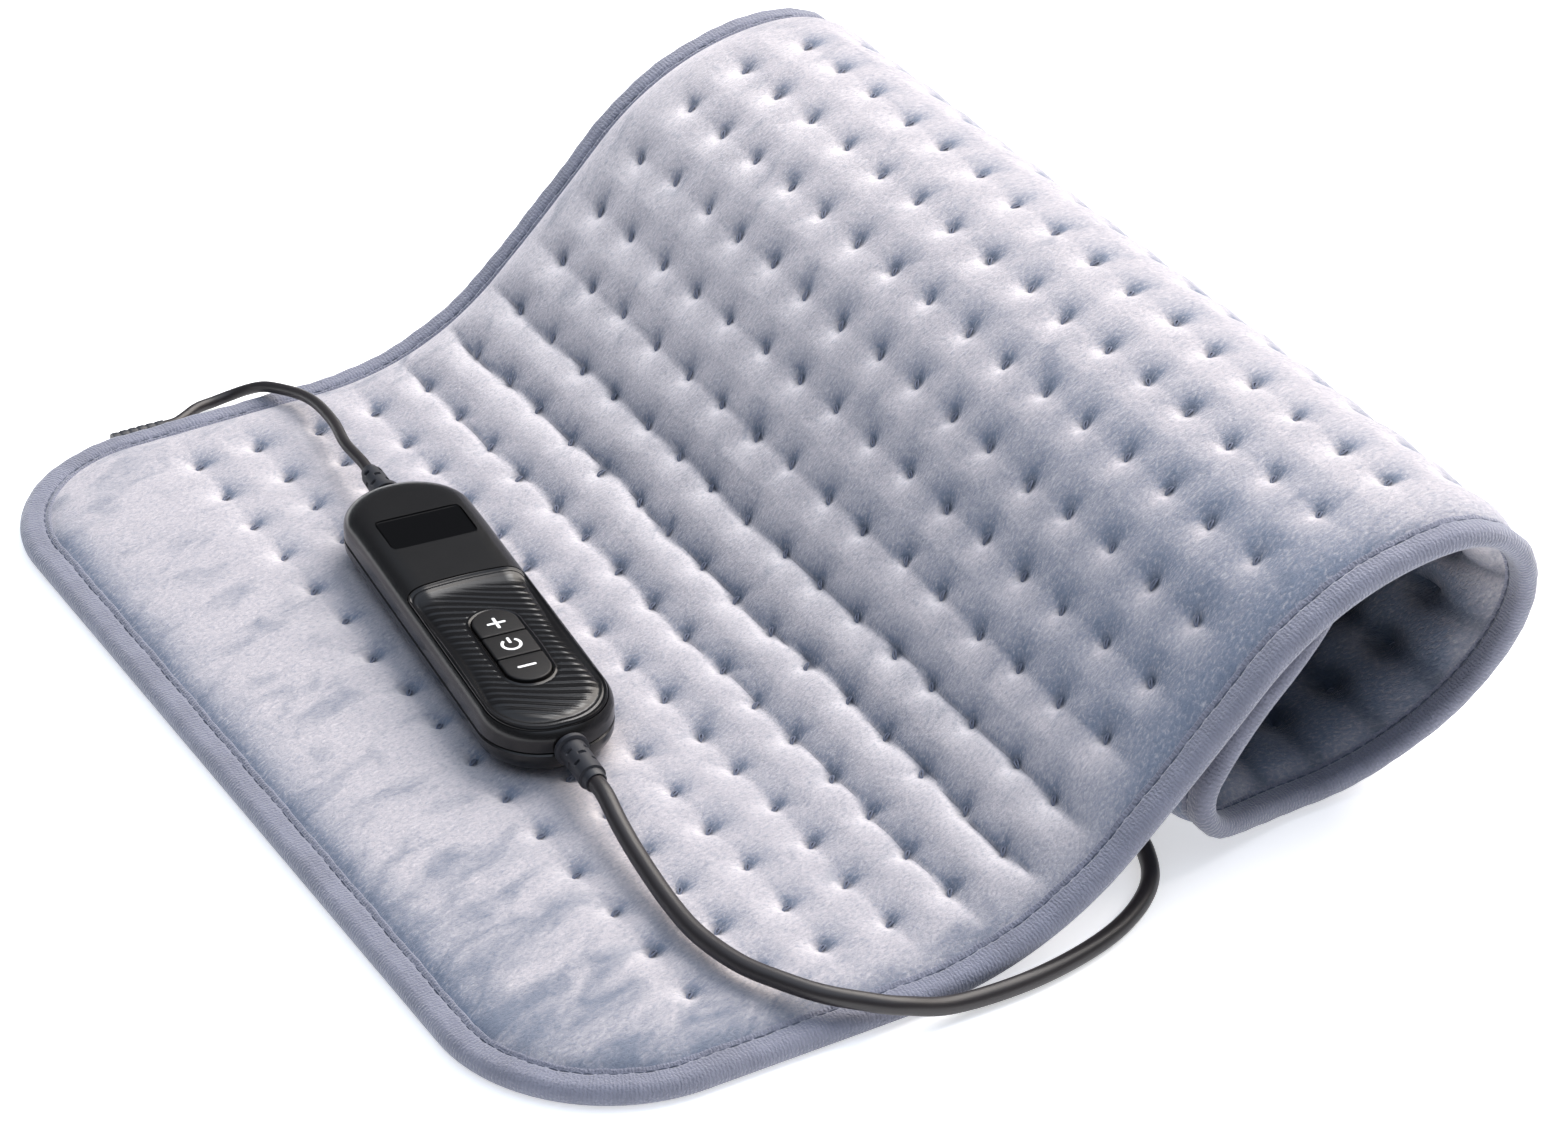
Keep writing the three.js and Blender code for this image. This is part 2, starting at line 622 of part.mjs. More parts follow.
const MAINS_ROUTE = [
  onController(-MAINS_RELIEF.reach - GAP),
  onController(-MAINS_RELIEF.reach - 5),
  [62.6, 76, 14],
  [61.2, 64, 12.4],
  [59.9, 49, 11.3],
  [59.7, 36, 11.1],
  [62.2, 23, 11.1],
  [66.8, 13.5, 11],
  [72.3, 6, 10.4],
  [79, 1, 9.2],
  [87, -2.6, 7.2],
  [100, -3.6, 3.4],
  [121, -3.2, 2.4],
  [142, 1.4, 2.3],
  [157, 10, 2.3],
  [165, 21, 2.3],
  [168, 36, 2.3],
  [168, 80, 2.3],
  [168, 140, 2.3],
  [168, 200, 2.3],
  [168, 260, 2.3],
  [168, 300, 2.3],
  [169, 318, 2.4],
  [174, 331, 2.5],
  [186, 340, 2.7],
  [202, 344, 2.9],
  [214, 350, COIL.floor],
];

const PAD_LEAD_ROUTE = [
  onController(PAD_RELIEF.reach + GAP),
  onController(PAD_RELIEF.reach + 5),
  [81, 251, 15.2],
  [83.6, 263, 14.2],
  [84.8, 275, 13],
  [84.4, 284, 11.4],
  [82.8, 292, 9.4],
  [80.6, 298.4, 7.6],
  [78, 303, 5.2],
  [74.5, 306, 3],
  [70, 306.8, 2],
  [65, 306, 2],
  [60, 303.4, 1.9],
  [GLAND.from + 3, GLAND.across, GLAND.height],
  [GLAND.from + GAP, GLAND.across, GLAND.height],
];

function freeCord(route, diameter, steps) {
  const curve = new THREE.CatmullRomCurve3(route.map((point) => new THREE.Vector3(...point)));
  curve.arcLengthDivisions = 2000;
  const ring = new THREE.Shape();
  ring.absarc(0, 0, diameter / 2, 0, Math.PI * 2);
  return new THREE.ExtrudeGeometry(ring, { steps, extrudePath: curve, curveSegments: TUBE_SIDES / ARC_POINTS });
}

// The stored length spirals in, climbs a layer in half a turn and spirals out again
function coilPath() {
  const { centre, start, turns, inner, pitch, floor } = COIL;
  const outer = inner + turns * pitch;
  const total = 2 * turns + 0.5;
  const points = [];
  for (let step = 0; step <= total * LOOP_STEPS; step++) {
    const turn = step / LOOP_STEPS;
    const climb = THREE.MathUtils.clamp((turn - turns) / 0.5, 0, 1);
    const radius = outer - pitch * Math.min(turn, total - turn);
    const angle = THREE.MathUtils.degToRad(start - 360 * turn);
    const height = floor + pitch * THREE.MathUtils.smoothstep(climb, 0, 1);
    points.push(new THREE.Vector3(centre[0] + radius * Math.cos(angle), centre[1] + radius * Math.sin(angle), height));
  }
  const straight = (from, angle, way) => {
    const heading = THREE.MathUtils.degToRad(angle - 90);
    const step = new THREE.Vector3(Math.cos(heading), Math.sin(heading), 0);
    return from.clone().addScaledVector(step, way * MAINS_DIAMETER);
  };
  points.unshift(straight(points[0], start, -1));
  points.push(straight(points.at(-1), start - 360 * total, 1));
  return points;
}

// Least clear distance between stretches of a tube that are more than half a turn apart
function leastGap(points, diameter) {
  let least = Infinity;
  for (let i = 0; i < points.length; i++) {
    for (let j = i + LOOP_STEPS / 2; j < points.length; j++) least = Math.min(least, points[i].distanceTo(points[j]));
  }
  return least - diameter;
}

function plugBody() {
  const { body, rear, front, thickness, bevel } = PLUG;
  const shape = new THREE.Shape();
  shape.moveTo(-rear / 2 + bevel, bevel);
  shape.lineTo(rear / 2 - bevel, bevel);
  shape.bezierCurveTo(rear / 2 - bevel, body * 0.45, front / 2 - bevel, body * 0.4, front / 2 - bevel, body - bevel);
  shape.lineTo(-front / 2 + bevel, body - bevel);
  shape.bezierCurveTo(-front / 2 + bevel, body * 0.4, -rear / 2 + bevel, body * 0.45, -rear / 2 + bevel, bevel);
  const depth = thickness - 2 * bevel;
  const geometry = new THREE.ExtrudeGeometry(shape, {
    depth, bevelThickness: bevel, bevelSize: bevel, bevelSegments: 2, curveSegments: 5,
  });
  return geometry.translate(0, 0, bevel - thickness / 2);
}

function addCords() {
  const coil = coilPath();
  const ups = coil.map(() => new THREE.Vector3(0, 0, 1));
  console.log('coil: least gap to itself', leastGap(coil, MAINS_DIAMETER).toFixed(2), 'mm');
  add(object, 'mains_coil', tubeThrough(coil, ups, MAINS_DIAMETER, LOOP_SIDES), 'cord');

  const [coilStart, coilNext] = coil;
  const coilHeading = coilNext.clone().sub(coilStart).normalize();
  const mainsEnd = coilStart.clone().addScaledVector(coilHeading, -GAP);
  const nearEnd = coilStart.clone().addScaledVector(coilHeading, -6);
  const mainsRoute = [...MAINS_ROUTE, nearEnd.toArray(), mainsEnd.toArray()];
  add(object, 'mains_lead', freeCord(mainsRoute, MAINS_DIAMETER, 62), 'cord');
  add(object, 'pad_lead', freeCord(PAD_LEAD_ROUTE, PAD_LEAD_DIAMETER, 20), 'cord');

  const glandLength = GLAND.from - GLAND.to;
  const glandPoints = [[0, 0], [0, GLAND.neck], [glandLength / 2, GLAND.root], [glandLength, GLAND.root], [glandLength, 0]];
  const gland = turned(glandPoints);
  gland.rotateZ(Math.PI / 2).translate(GLAND.from, GLAND.across, GLAND.height);
  add(object, 'pad_gland', gland, 'rubber');

  // The plug follows the coil's outer end in a straight line
  const plug = new THREE.Group();
  const coilEnd = coil.at(-1);
  const plugHeading = coilEnd.clone().sub(coil.at(-2)).normalize();
  plug.position.copy(coilEnd).addScaledVector(plugHeading, GAP);
  plug.rotation.z = Math.atan2(-plugHeading.x, plugHeading.y);
  object.add(plug);
  const { relief, neck, root, taper, body } = PLUG;
  const sleeve = [[0, 0], [0, neck], [taper, root], [relief, root], [relief, 0]];
  add(plug, 'plug_strain_relief', turned(sleeve), 'rubber');
  add(plug, 'plug_body', plugBody().translate(0, relief + GAP, 0), 'rubber');
  const pinFrom = relief + body + 2 * GAP;
  const { span, length, radius, tip, tipLength } = PIN;
  const pinPoints = [[0, 0], [0, radius], [length - tipLength, radius], [length, tip], [length, 0]];
  for (const [side, name] of [[-1, 'plug_pin_left'], [1, 'plug_pin_right']]) {
    add(plug, name, turned(pinPoints, 10).translate(side * span / 2, pinFrom, 0), 'brass');
  }

  // The tie is a flat loop round the coil's turns, where both layers lie square over one another
  const { centre, start, turns, inner, pitch, floor } = COIL;
  const tieAngle = start - 90;
  const across = (turns - 0.5) * pitch + MAINS_DIAMETER + 2 * TIE.clearance;
  const high = pitch + MAINS_DIAMETER + 2 * TIE.clearance;
  const outerLoop = roundedRectangle(across + 2 * TIE.wall, high + 2 * TIE.wall, TIE.radius);
  outerLoop.holes.push(roundedRectangle(across, high, TIE.radius - TIE.wall));
  const tie = new THREE.ExtrudeGeometry(outerLoop, { depth: TIE.width, bevelEnabled: false, curveSegments: 2 });
  tie.translate(0, 0, -TIE.width / 2).rotateX(Math.PI / 2);
  tie.translate(inner + turns * pitch / 2, 0, floor + pitch / 2);
  tie.rotateZ(THREE.MathUtils.degToRad(tieAngle)).translate(centre[0], centre[1], 0);
  add(object, 'coil_tie', tie, 'rubber');
}

addPad();
addController();
addCords();

// The origin is under the middle of the pad and controller, cords left aside, on the table
const CORD_PIECES = /^(mains_lead|mains_coil|pad_lead|coil_tie|plug_.*)$/;
object.updateMatrixWorld(true);
const bounds = new THREE.Box3();
object.traverse((node) => {
  if (node.isMesh && !CORD_PIECES.test(node.name)) bounds.expandByObject(node, true);
});
const middle = bounds.getCenter(new THREE.Vector3());
object.position.set(-middle.x, -middle.y, -bounds.min.z);

export default object;
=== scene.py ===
"""Heating pad with a hand controller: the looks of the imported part.

Lengths in this file are millimetres unless a name or a comment says otherwise. A place on the pad is
given along its length, across its width and in height above its underside. A place on the controller is
given across it, along it towards the display, and up. Both become metres in the part's frame at the last
step.
"""

import math

import bmesh
import bpy
import numpy as np
from bpy.props import FloatProperty, FloatVectorProperty, PointerProperty
from bpy.types import Operator, Panel, PropertyGroup
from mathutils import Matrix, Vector


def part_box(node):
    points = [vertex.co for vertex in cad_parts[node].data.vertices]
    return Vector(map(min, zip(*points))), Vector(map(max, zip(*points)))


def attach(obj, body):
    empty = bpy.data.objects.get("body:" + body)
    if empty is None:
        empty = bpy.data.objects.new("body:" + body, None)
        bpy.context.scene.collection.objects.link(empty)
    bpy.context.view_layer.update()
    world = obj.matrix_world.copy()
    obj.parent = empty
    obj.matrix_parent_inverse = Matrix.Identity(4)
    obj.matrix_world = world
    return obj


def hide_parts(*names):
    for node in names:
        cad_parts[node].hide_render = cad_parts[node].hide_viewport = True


bl_info = {
    "name": "Heating pad",
    "version": (1, 0, 0),
    "blender": (4, 5, 0),
    "location": "View3D > Sidebar > Heating pad",
    "description": "Builds the looks of a heating pad with a hand controller around its packed frame",
    "category": "Object",
}

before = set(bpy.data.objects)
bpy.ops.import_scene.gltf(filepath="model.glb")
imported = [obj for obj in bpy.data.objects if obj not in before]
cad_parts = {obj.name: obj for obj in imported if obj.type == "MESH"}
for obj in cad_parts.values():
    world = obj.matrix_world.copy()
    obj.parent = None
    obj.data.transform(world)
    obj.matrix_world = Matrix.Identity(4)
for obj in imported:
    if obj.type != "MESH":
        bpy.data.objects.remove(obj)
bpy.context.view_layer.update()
MM = 0.001
ORIGIN = np.array(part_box("edge_binding")[0])  # the pad's flat front corner, in metres
ROOT = "pad_and_controller"
UP = np.array([0.0, 0.0, 1.0])

# Pad
PAD_WIDTH = 300.0
CORNER_RADIUS = 42.0
TUFT_PITCH = 16.6
TUFTS_ACROSS = 16
TUFT_ROWS = 23
TUFT_GRID = (TUFT_ROWS, TUFTS_ACROSS)
TUFT_SCATTER = 0.45  # how far a tuft strays from the even grid
TOP_SEED = 11
UNDER_SEED = 21
FRONT_MARGIN = 25.2
END_MARGIN = 51.2
# Length and turn, in degrees, of each stretch of the pad's line from its flat end to its rolled end
PROFILE = (
    (94, 0),
    (59, 43),
    (44, 3),
    (54, -46),
    (41, -96),
    (34, -47),
    (35, -43),
    (20, -8),
    (18, -108),
    (26, -15),
    (24, -25),
    (16, -17),
)
PAD_LENGTH = float(sum(length for length, _ in PROFILE))
PAD_ROUND = 2 * (PAD_LENGTH + PAD_WIDTH - 4 * CORNER_RADIUS) + 2 * math.pi * CORNER_RADIUS
ROLL_DRIFTS = ((18.0, 251.0, 350.0), (-9.0, 355.0, 400.0))  # towards the back, each with its start and end
PILE_LEVEL = 7.4  # top of the plush between tufts
PILE_FOOT = 4.3  # top of the plush at its edge
TOP_UNDER = 3.9
BOTTOM_TOP = 1.2
BEND_ROW = 5.0  # row of tufts in the middle of the pad's hollow bend
COVER_INSET = 7.0  # from the edge to the covers, under the tape
COVER_RUN = 4.0  # over which the covers swell from their edge
TAPE_WIDTH = 7.9
TAPE_MIDDLE = 2.5  # height of the folded tape's middle
STITCH_LINE = 6.2  # from the edge to the sewn line in the tape
STITCH_LENGTH = 2.5
STITCH_GAP = 0.5

# Controller
CONTROLLER_PLACE = np.array([72.3, 164.0, 8.8])
CONTROLLER_YAW = -6.0
CASE_WIDTH = 32.0
CASE_LENGTH = 117.0
CASE_RADIUS = 15.6
CASE_MIDDLE = CASE_RADIUS - 0.5  # inset of the innermost ring
CASE_TOP = 14.0
CASE_SIDE = 8.0  # height of the upright side
CASE_SHOULDER = 7.0
CASE_SPLIT = 5.6
CASE_WALL = 1.8
PANEL_WIDTH = 29.0
PANEL_START = -56.8
PANEL_SIDE = 47.8  # length of its straight sides
PANEL_LOW_RADIUS = 13.4
PANEL_CORNER = 2.6
PANEL_ARCH = 9.0  # half the turn of its upper edge, in degrees
PANEL_UNDER = 11.6
KEY_CENTRE = -23.5
KEY_LENGTH = 31.0
KEY_WIDTH = 11.0
KEY_MIDDLE = 9.4
KEY_SLIT = 0.35
KEY_CLEARANCE = 0.3
SIGN_PITCH = 9.6
SIGN_WIDTH = 4.6
SIGN_STROKE = 0.75
WINDOW_CENTRE = 31.5
WINDOW_LENGTH = 13.5
WINDOW_WIDTH = 21.2
CORD_AXIS = 7.0
PAD_RELIEF_REACH = 71.5
MAINS_RELIEF_REACH = 74.0

# Cords
COIL_CENTRE = (260.0, 358.0)
COIL_START = 160.0
COIL_TURNS = 3.5
COIL_INNER = 16.8
COIL_PITCH = 4.8
COIL_FLOOR = 3.0
COIL_TAIL = 4.2  # straight length at each end of the coil
PLUG_RELIEF = 22.0
PLUG_LENGTH = 36.0
PIN_ASIDE = 9.3
GLAND_FROM = 54.0
GLAND_TO = 40.0
GLAND_ACROSS = 302.1
GLAND_HEIGHT = 1.9


def linear(hex_colour):
    """Turns an sRGB hex value to linear red, green and blue."""
    values = (int(hex_colour[k : k + 2], 16) / 255 for k in (1, 3, 5))
    return tuple(v / 12.92 if v <= 0.04045 else ((v + 0.055) / 1.055) ** 2.4 for v in values)


# Curves and places


def smoothstep(value, low, high):
    """0 up to low and 1 from high on, with 3 t^2 - 2 t^3 between."""
    t = np.clip((value - low) / (high - low), 0.0, 1.0)
    return t * t * (3.0 - 2.0 * t)


def bell(offset, width):
    """1 at no offset, falling as exp(-(offset / width)^2)."""
    return np.exp(-((offset / width) ** 2))


def unit(vectors):
    """Vectors of length 1 in the same directions."""
    return vectors / np.linalg.norm(vectors, axis=-1, keepdims=True)


def points_of(*coordinates):
    """Points from their coordinates, which are spread to one shape."""
    return np.stack(np.broadcast_arrays(*coordinates), axis=-1)


def sums_before(values):
    """Sum of all values before each one."""
    return np.concatenate([[0.0], np.cumsum(values)[:-1]])


def ring_angles(sides):
    """Even angles round a full turn."""
    return np.arange(sides) * 2 * np.pi / sides


def walk(stretches, distance, start=(0.0, 0.0), heading=0.0):
    """Points at the given distances along a row of straight stretches and arcs, with the heading there.

    Each stretch has a length and a turn in degrees. Within a stretch the heading grows evenly, and the
    point lies at the end of the chord, whose length is the run times sin(half turn) / (half turn).
    """
    lengths, turns = np.array(stretches, dtype=float).T
    turns = np.radians(turns)
    headings = math.radians(heading) + sums_before(turns)
    chords = lengths * np.sinc(turns / 2 / np.pi)
    middles = headings + turns / 2
    xs = start[0] + sums_before(chords * np.cos(middles))
    ys = start[1] + sums_before(chords * np.sin(middles))
    starts = sums_before(lengths)
    k = np.clip(np.searchsorted(starts, distance, side="right") - 1, 0, len(lengths) - 1)
    run = distance - starts[k]
    turn = turns[k] * run / lengths[k]
    chord = run * np.sinc(turn / 2 / np.pi)
    middle = headings[k] + turn / 2
    return xs[k] + chord * np.cos(middle), ys[k] + chord * np.sin(middle), headings[k] + turn


def closed_outline(half_stretches, count, start):
    """Evenly spaced points round an outline that mirrors itself, and the directions that point inwards.

    The given stretches are the right half, from the lowest point in the middle to the highest one.
    """
    stretches = [*half_stretches, *half_stretches[::-1]]
    total = sum(length for length, _ in stretches)
    x, y, heading = walk(stretches, np.arange(count) * total / count, start)
    return points_of(x, y), points_of(-np.sin(heading), np.cos(heading))


def rounded_half(width, length, radius):
    """Right half of a rounded rectangle's outline, as stretches for closed_outline."""
    corner = (radius * math.pi / 2, 90)
    end = (width / 2 - radius, 0)
    return [end, corner, (length - 2 * radius, 0), corner, end]


def inside_rounded(x, y, width, length, radius):
    """Distance from the edge of a rounded rectangle about the origin, positive inside it."""
    out_x = np.abs(x) - (width / 2 - radius)
    out_y = np.abs(y) - (length / 2 - radius)
    corner = np.hypot(np.maximum(out_x, 0), np.maximum(out_y, 0))
    return radius - corner - np.minimum(np.maximum(out_x, out_y), 0)


def spline(points, steps):
    """A smooth line through points: each span is the cubic whose end slopes follow the points beside it."""
    points = np.asarray(points, dtype=float)
    ends = np.concatenate([[2 * points[0] - points[1]], points, [2 * points[-1] - points[-2]]])
    a, b, c, d = (ends[k : len(ends) - 3 + k, None, :] for k in range(4))
    t = np.linspace(0.0, 1.0, steps, endpoint=False)[None, :, None]
    cubic = b + 0.5 * t * (c - a + t * (2 * a - 5 * b + 4 * c - d + t * (3 * (b - c) + d - a)))
    return np.concatenate([cubic.reshape(-1, 3), points[-1:]])


def in_frame(points):
    """Places in metres in the part's frame, from millimetres off the pad's flat front corner."""
    return ORIGIN + points * MM


def pad_place(along, across, height):
    """Places on the pad in metres: the pad's line carries its normal, and height is measured along it.

    Along the roll each drift to the back grows as a smoothstep.
    """
    along, across, height = np.broadcast_arrays(along, across, height)
    x, z, heading = walk(PROFILE, along)
    drift = sum(most * smoothstep(along, start, end) for most, start, end in ROLL_DRIFTS)
    return in_frame(points_of(x - np.sin(heading) * height, across + drift, z + np.cos(heading) * height))


def pad_up(along):
    """The pad's normal, away from its underside."""
    heading = walk(PROFILE, along)[2]
    return points_of(-np.sin(heading), 0.0, np.cos(heading))


def pad_pressed(along, height):
    """Keeps the top's height within the room that is left where the roll rests on the table."""
    _, z, heading = walk(PROFILE, along)
    down = -np.cos(heading)
    steep = 0.3  # a face that looks less far down than this never meets the table
    room = np.where(down > steep, z / np.maximum(down, steep), np.inf)
    return np.minimum(height, room)


def controller_place(points):
    """Places on the controller in metres."""
    turn = math.radians(CONTROLLER_YAW)
    c, s = math.cos(turn), math.sin(turn)
    turned = np.asarray(points) @ np.array([[c, s, 0.0], [-s, c, 0.0], [0.0, 0.0, 1.0]])
    return in_frame(turned + CONTROLLER_PLACE)


def on_controller_axis(along):
    """Point on the line of the controller's two cord exits, in the pad's millimetres."""
    return (controller_place([0.0, along, CORD_AXIS]) - ORIGIN) / MM


# Meshes


def grid_quads(rows, columns, wrap=False, close=False):
    """Faces of a grid of points numbered row by row.

    With wrap the last column joins the first, and with close the last row does so too.
    """
    r = np.arange(rows if close else rows - 1)[:, None]
    c = np.arange(columns if wrap else columns - 1)[None, :]
    row = r * columns
    next_row = (r + 1) % rows * columns
    next_c = (c + 1) % columns
    return points_of(row + c, row + next_c, next_row + next_c, next_row + c).reshape(-1, 4)


def build_mesh(points, *face_groups, uv=None):
    """A mesh from points in metres and groups of faces, each an array with one face a row."""
    points = np.asarray(points, dtype=np.float64).reshape(-1, 3)
    groups = [np.asarray(group, dtype=np.int32) for group in face_groups]
    corners = np.concatenate([group.ravel() for group in groups])
    sizes = np.concatenate([np.full(len(group), group.shape[1]) for group in groups])
    mesh = bpy.data.meshes.new("surface")
    mesh.vertices.add(len(points))
    mesh.vertices.foreach_set("co", points.ravel())
    mesh.loops.add(len(corners))
    mesh.loops.foreach_set("vertex_index", corners)
    mesh.polygons.add(len(sizes))
    mesh.polygons.foreach_set("loop_start", sums_before(sizes).astype(np.int32))
    mesh.update(calc_edges=True)
    if uv is not None:
        layer = mesh.uv_layers.new(name="surface")
        layer.data.foreach_set("uv", uv[corners].ravel())
    # All faces point outwards
    work = bmesh.new()
    work.from_mesh(mesh)
    bmesh.ops.recalc_face_normals(work, faces=work.faces)
    work.to_mesh(mesh)
    work.free()
    return mesh


def join_meshes(meshes):
    """One mesh from several that don't touch."""
    work = bmesh.new()
    for mesh in meshes:
        work.from_mesh(mesh)
        bpy.data.meshes.remove(mesh)
    whole = bpy.data.meshes.new("surface")
    work.to_mesh(whole)
    work.free()
    return whole


def smooth(mesh, sharp):
    """Shades a mesh smooth but for edges sharper than the given angle in degrees."""
    mesh.polygons.foreach_set("use_smooth", np.ones(len(mesh.polygons), dtype=bool))
    mesh.set_sharp_from_angle(angle=math.radians(sharp))


def show(name, mesh):
    """Puts a mesh into the scene as an object at the origin."""
    mesh.name = name
    thing = bpy.data.objects.new(name, mesh)
    bpy.context.scene.collection.objects.link(thing)
    return thing


def add_piece(name, mesh, material, body=ROOT, replaces=(), sharp=40.0):
    """Shows a mesh as a piece of the object that rides on a body and stands for CAD nodes."""
    smooth(mesh, sharp)
    mesh.materials.append(material)
    piece = show(name, mesh)
    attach(piece, body)
    if replaces:
        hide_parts(*replaces)
    return piece


def cut(piece, *cutters):
    """Takes the forms of the given meshes off a piece and shades it smooth again."""
    tools = [show("cutter", mesh) for mesh in cutters]
    for tool in tools:
        modifier = piece.modifiers.new("cut", "BOOLEAN")
        modifier.operation = "DIFFERENCE"
        modifier.solver = "EXACT"
        modifier.object = tool
    graph = bpy.context.evaluated_depsgraph_get()
    mesh = bpy.data.meshes.new_from_object(piece.evaluated_get(graph))
    piece.modifiers.clear()
    piece.data = mesh
    smooth(mesh, 35.0)
    for tool in tools:
        bpy.data.objects.remove(tool, do_unlink=True)


def ring_mesh(rings):
    """A closed skin over a row of rings, (ring, point, 3), with a flat face at each end."""
    rows, columns = rings.shape[:2]
    ring = np.arange(columns)
    return build_mesh(rings, grid_quads(rows, columns, wrap=True), [ring, (rows - 1) * columns + ring])


def inset_rings(outline, inward, insets, heights):
    """Rings of an outline moved inwards by each inset, each at its height."""
    flat = outline + np.asarray(insets)[:, None, None] * inward
    return points_of(flat[..., 0], flat[..., 1], np.asarray(heights)[:, None])


def turned_rings(along, radius, sides):
    """Rings of a piece turned about +Y, from the distance along it and the radius there."""
    angle = ring_angles(sides)
    return points_of(radius * np.cos(angle), along, radius * np.sin(angle))


def prism(outline, low, high):
    """An upright prism on the controller with the given outline."""
    levels = np.array([[low], [high]])
    return ring_mesh(controller_place(points_of(outline[:, 0], outline[:, 1], levels)))


def tube_mesh(centres, ups, diameter, sides):
    """Round tubes along lines of points, (tube, point, 3): a ring lies square to the line at each point."""
    tangent = unit(np.gradient(centres, axis=1))
    side = unit(np.cross(tangent, ups))
    up = np.cross(side, tangent)
    angle = ring_angles(sides)[:, None]
    spoke = np.cos(angle) * side[:, :, None, :] + np.sin(angle) * up[:, :, None, :]
    points = centres[:, :, None, :] + diameter / 2 * spoke
    count, steps = centres.shape[:2]
    first = (np.arange(count) * steps * sides)[:, None, None]
    quads = (grid_quads(steps, sides, wrap=True) + first).reshape(-1, 4)
    ring = np.arange(sides)
    ends = (np.array([ring, (steps - 1) * sides + ring]) + first).reshape(-1, sides)
    return build_mesh(points, quads, ends)


# Quilting


def hills(along, across, wave, seed):
    """Soft random hills: the sum of eight plane waves of about that length in random directions."""
    rng = np.random.default_rng(seed)
    headings = rng.uniform(0, 6.28, 8)
    phases = rng.uniform(0, 6.28, 8)
    stretches = rng.uniform(0.7, 1.5, 8)
    total = 0.0
    for heading, phase, stretch in zip(headings, phases, stretches):
        way = along * math.cos(heading) + across * math.sin(heading)
        total = total + np.sin(way * 2 * np.pi / (wave * stretch) + phase)
    return total / 2.0


def tuft_places(seed):
    """Along and across of every tuft, (row, column), a little off the even grid."""
    rng = np.random.default_rng(seed)
    row, column = np.indices(TUFT_GRID)
    along = END_MARGIN + TUFT_PITCH * row + rng.normal(0, TUFT_SCATTER, TUFT_GRID)
    across = FRONT_MARGIN + TUFT_PITCH * column + rng.normal(0, TUFT_SCATTER, TUFT_GRID)
    return along, across


def nearest_tuft(along, across, seed):
    """Row and column of the tuft nearest to each point, and the point's offset from it along and across."""
    row = np.clip(np.rint((along - END_MARGIN) / TUFT_PITCH), 0, TUFT_ROWS - 1).astype(int)
    column = np.clip(np.rint((across - FRONT_MARGIN) / TUFT_PITCH), 0, TUFTS_ACROSS - 1).astype(int)
    tuft = (row, column)
    tuft_along, tuft_across = tuft_places(seed)
    return tuft, along - tuft_along[tuft], across - tuft_across[tuft]


def creases(tuft, off_along, off_across, seed):
    """Star of creases round each tuft: four bells across lines of random heading.

    Each fades outwards as exp(-distance / 4).
    """
    rng = np.random.default_rng(seed)
    total = 0.0
    for _ in range(4):
        heading = rng.uniform(0, 2 * np.pi, TUFT_GRID)[tuft]
        strength = rng.uniform(0.3, 1.0, TUFT_GRID)[tuft]
        outwards = off_along * np.cos(heading) + off_across * np.sin(heading)
        aside = off_across * np.cos(heading) - off_along * np.sin(heading)
        fade = np.exp(-np.abs(outwards) / 4.0) * smoothstep(outwards, 0.0, 1.5)
        total = total + strength * bell(aside, 0.9) * fade
    return total


def edge_rise(along, across):
    """0 at a cover's edge, growing further in as 1 - exp(-distance / run)."""
    from_middle = (along - PAD_LENGTH / 2, across - PAD_WIDTH / 2)
    inside = inside_rounded(*from_middle, PAD_LENGTH, PAD_WIDTH, CORNER_RADIUS)
    return 1.0 - np.exp(-np.maximum(inside - COVER_INSET, 0.0) / COVER_RUN)


def top_heights(along, across, sizes):
    """Height of the plush: a plain level, with a pointed dimple at each tuft and pleats between the rows.

    A dimple is half exp(-r / 1.5) and half exp(-r / 4.8) of the distance r from its tuft. Between rows the
    pile bulges as the square root of a sine, which meets itself in a crease along each row, and does so most
    in the hollow bend. Low places are eased so that they never reach the layer below. The second result
    says how deep each point lies in dimples and creases, from 0 to 1, which the material paints as shade.
    """
    tuft, off_along, off_across = nearest_tuft(along, across, TOP_SEED)
    reach = np.hypot(off_along, off_across)
    rows = (along - END_MARGIN) / TUFT_PITCH
    bend = bell(rows - BEND_ROW, 1.5)
    depth = sizes.tuft_depth / MM * np.random.default_rng(12).uniform(0.85, 1.15, TUFT_GRID)[tuft]
    dimple = depth * (1.0 - 0.4 * bend) * (0.5 * np.exp(-reach / 1.5) + 0.5 * np.exp(-reach / 4.8))
    waver = 0.05 * np.sin(across / 19.0) + 0.04 * np.sin(across / 7.7 + 2.0 * np.rint(rows))
    pleat = np.abs(np.sin(np.pi * (rows + bend * waver))) ** 0.5 - 0.85
    pleats = (0.3 + sizes.pleat_height / MM * bend) * pleat
    crease = 0.4 * creases(tuft, off_along, off_across, 13)
    half = TUFT_ROWS / 2
    inner = smoothstep(np.abs(across - PAD_WIDTH / 2), 146.0, 130.0)
    inner = inner * smoothstep(np.abs(rows - (TUFT_ROWS - 1) / 2), half + 0.3, half - 0.4)
    height = PILE_LEVEL + inner * (pleats - crease) - dimple
    height = height + 0.12 * hills(along, across, 46.0, 14) + 0.06 * hills(along, across, 17.0, 15)
    least, give = 4.4, 0.8
    eased = least + give * np.exp((height - least - give) / give)
    height = np.where(height < least + give, eased, height)
    height = PILE_FOOT + (height - PILE_FOOT) * edge_rise(along, across)
    # The second value is painted shade in dimples and pleat creases
    return pad_pressed(along, height), np.clip((dimple - inner * pleats) / 3.4, 0.0, 1.0)


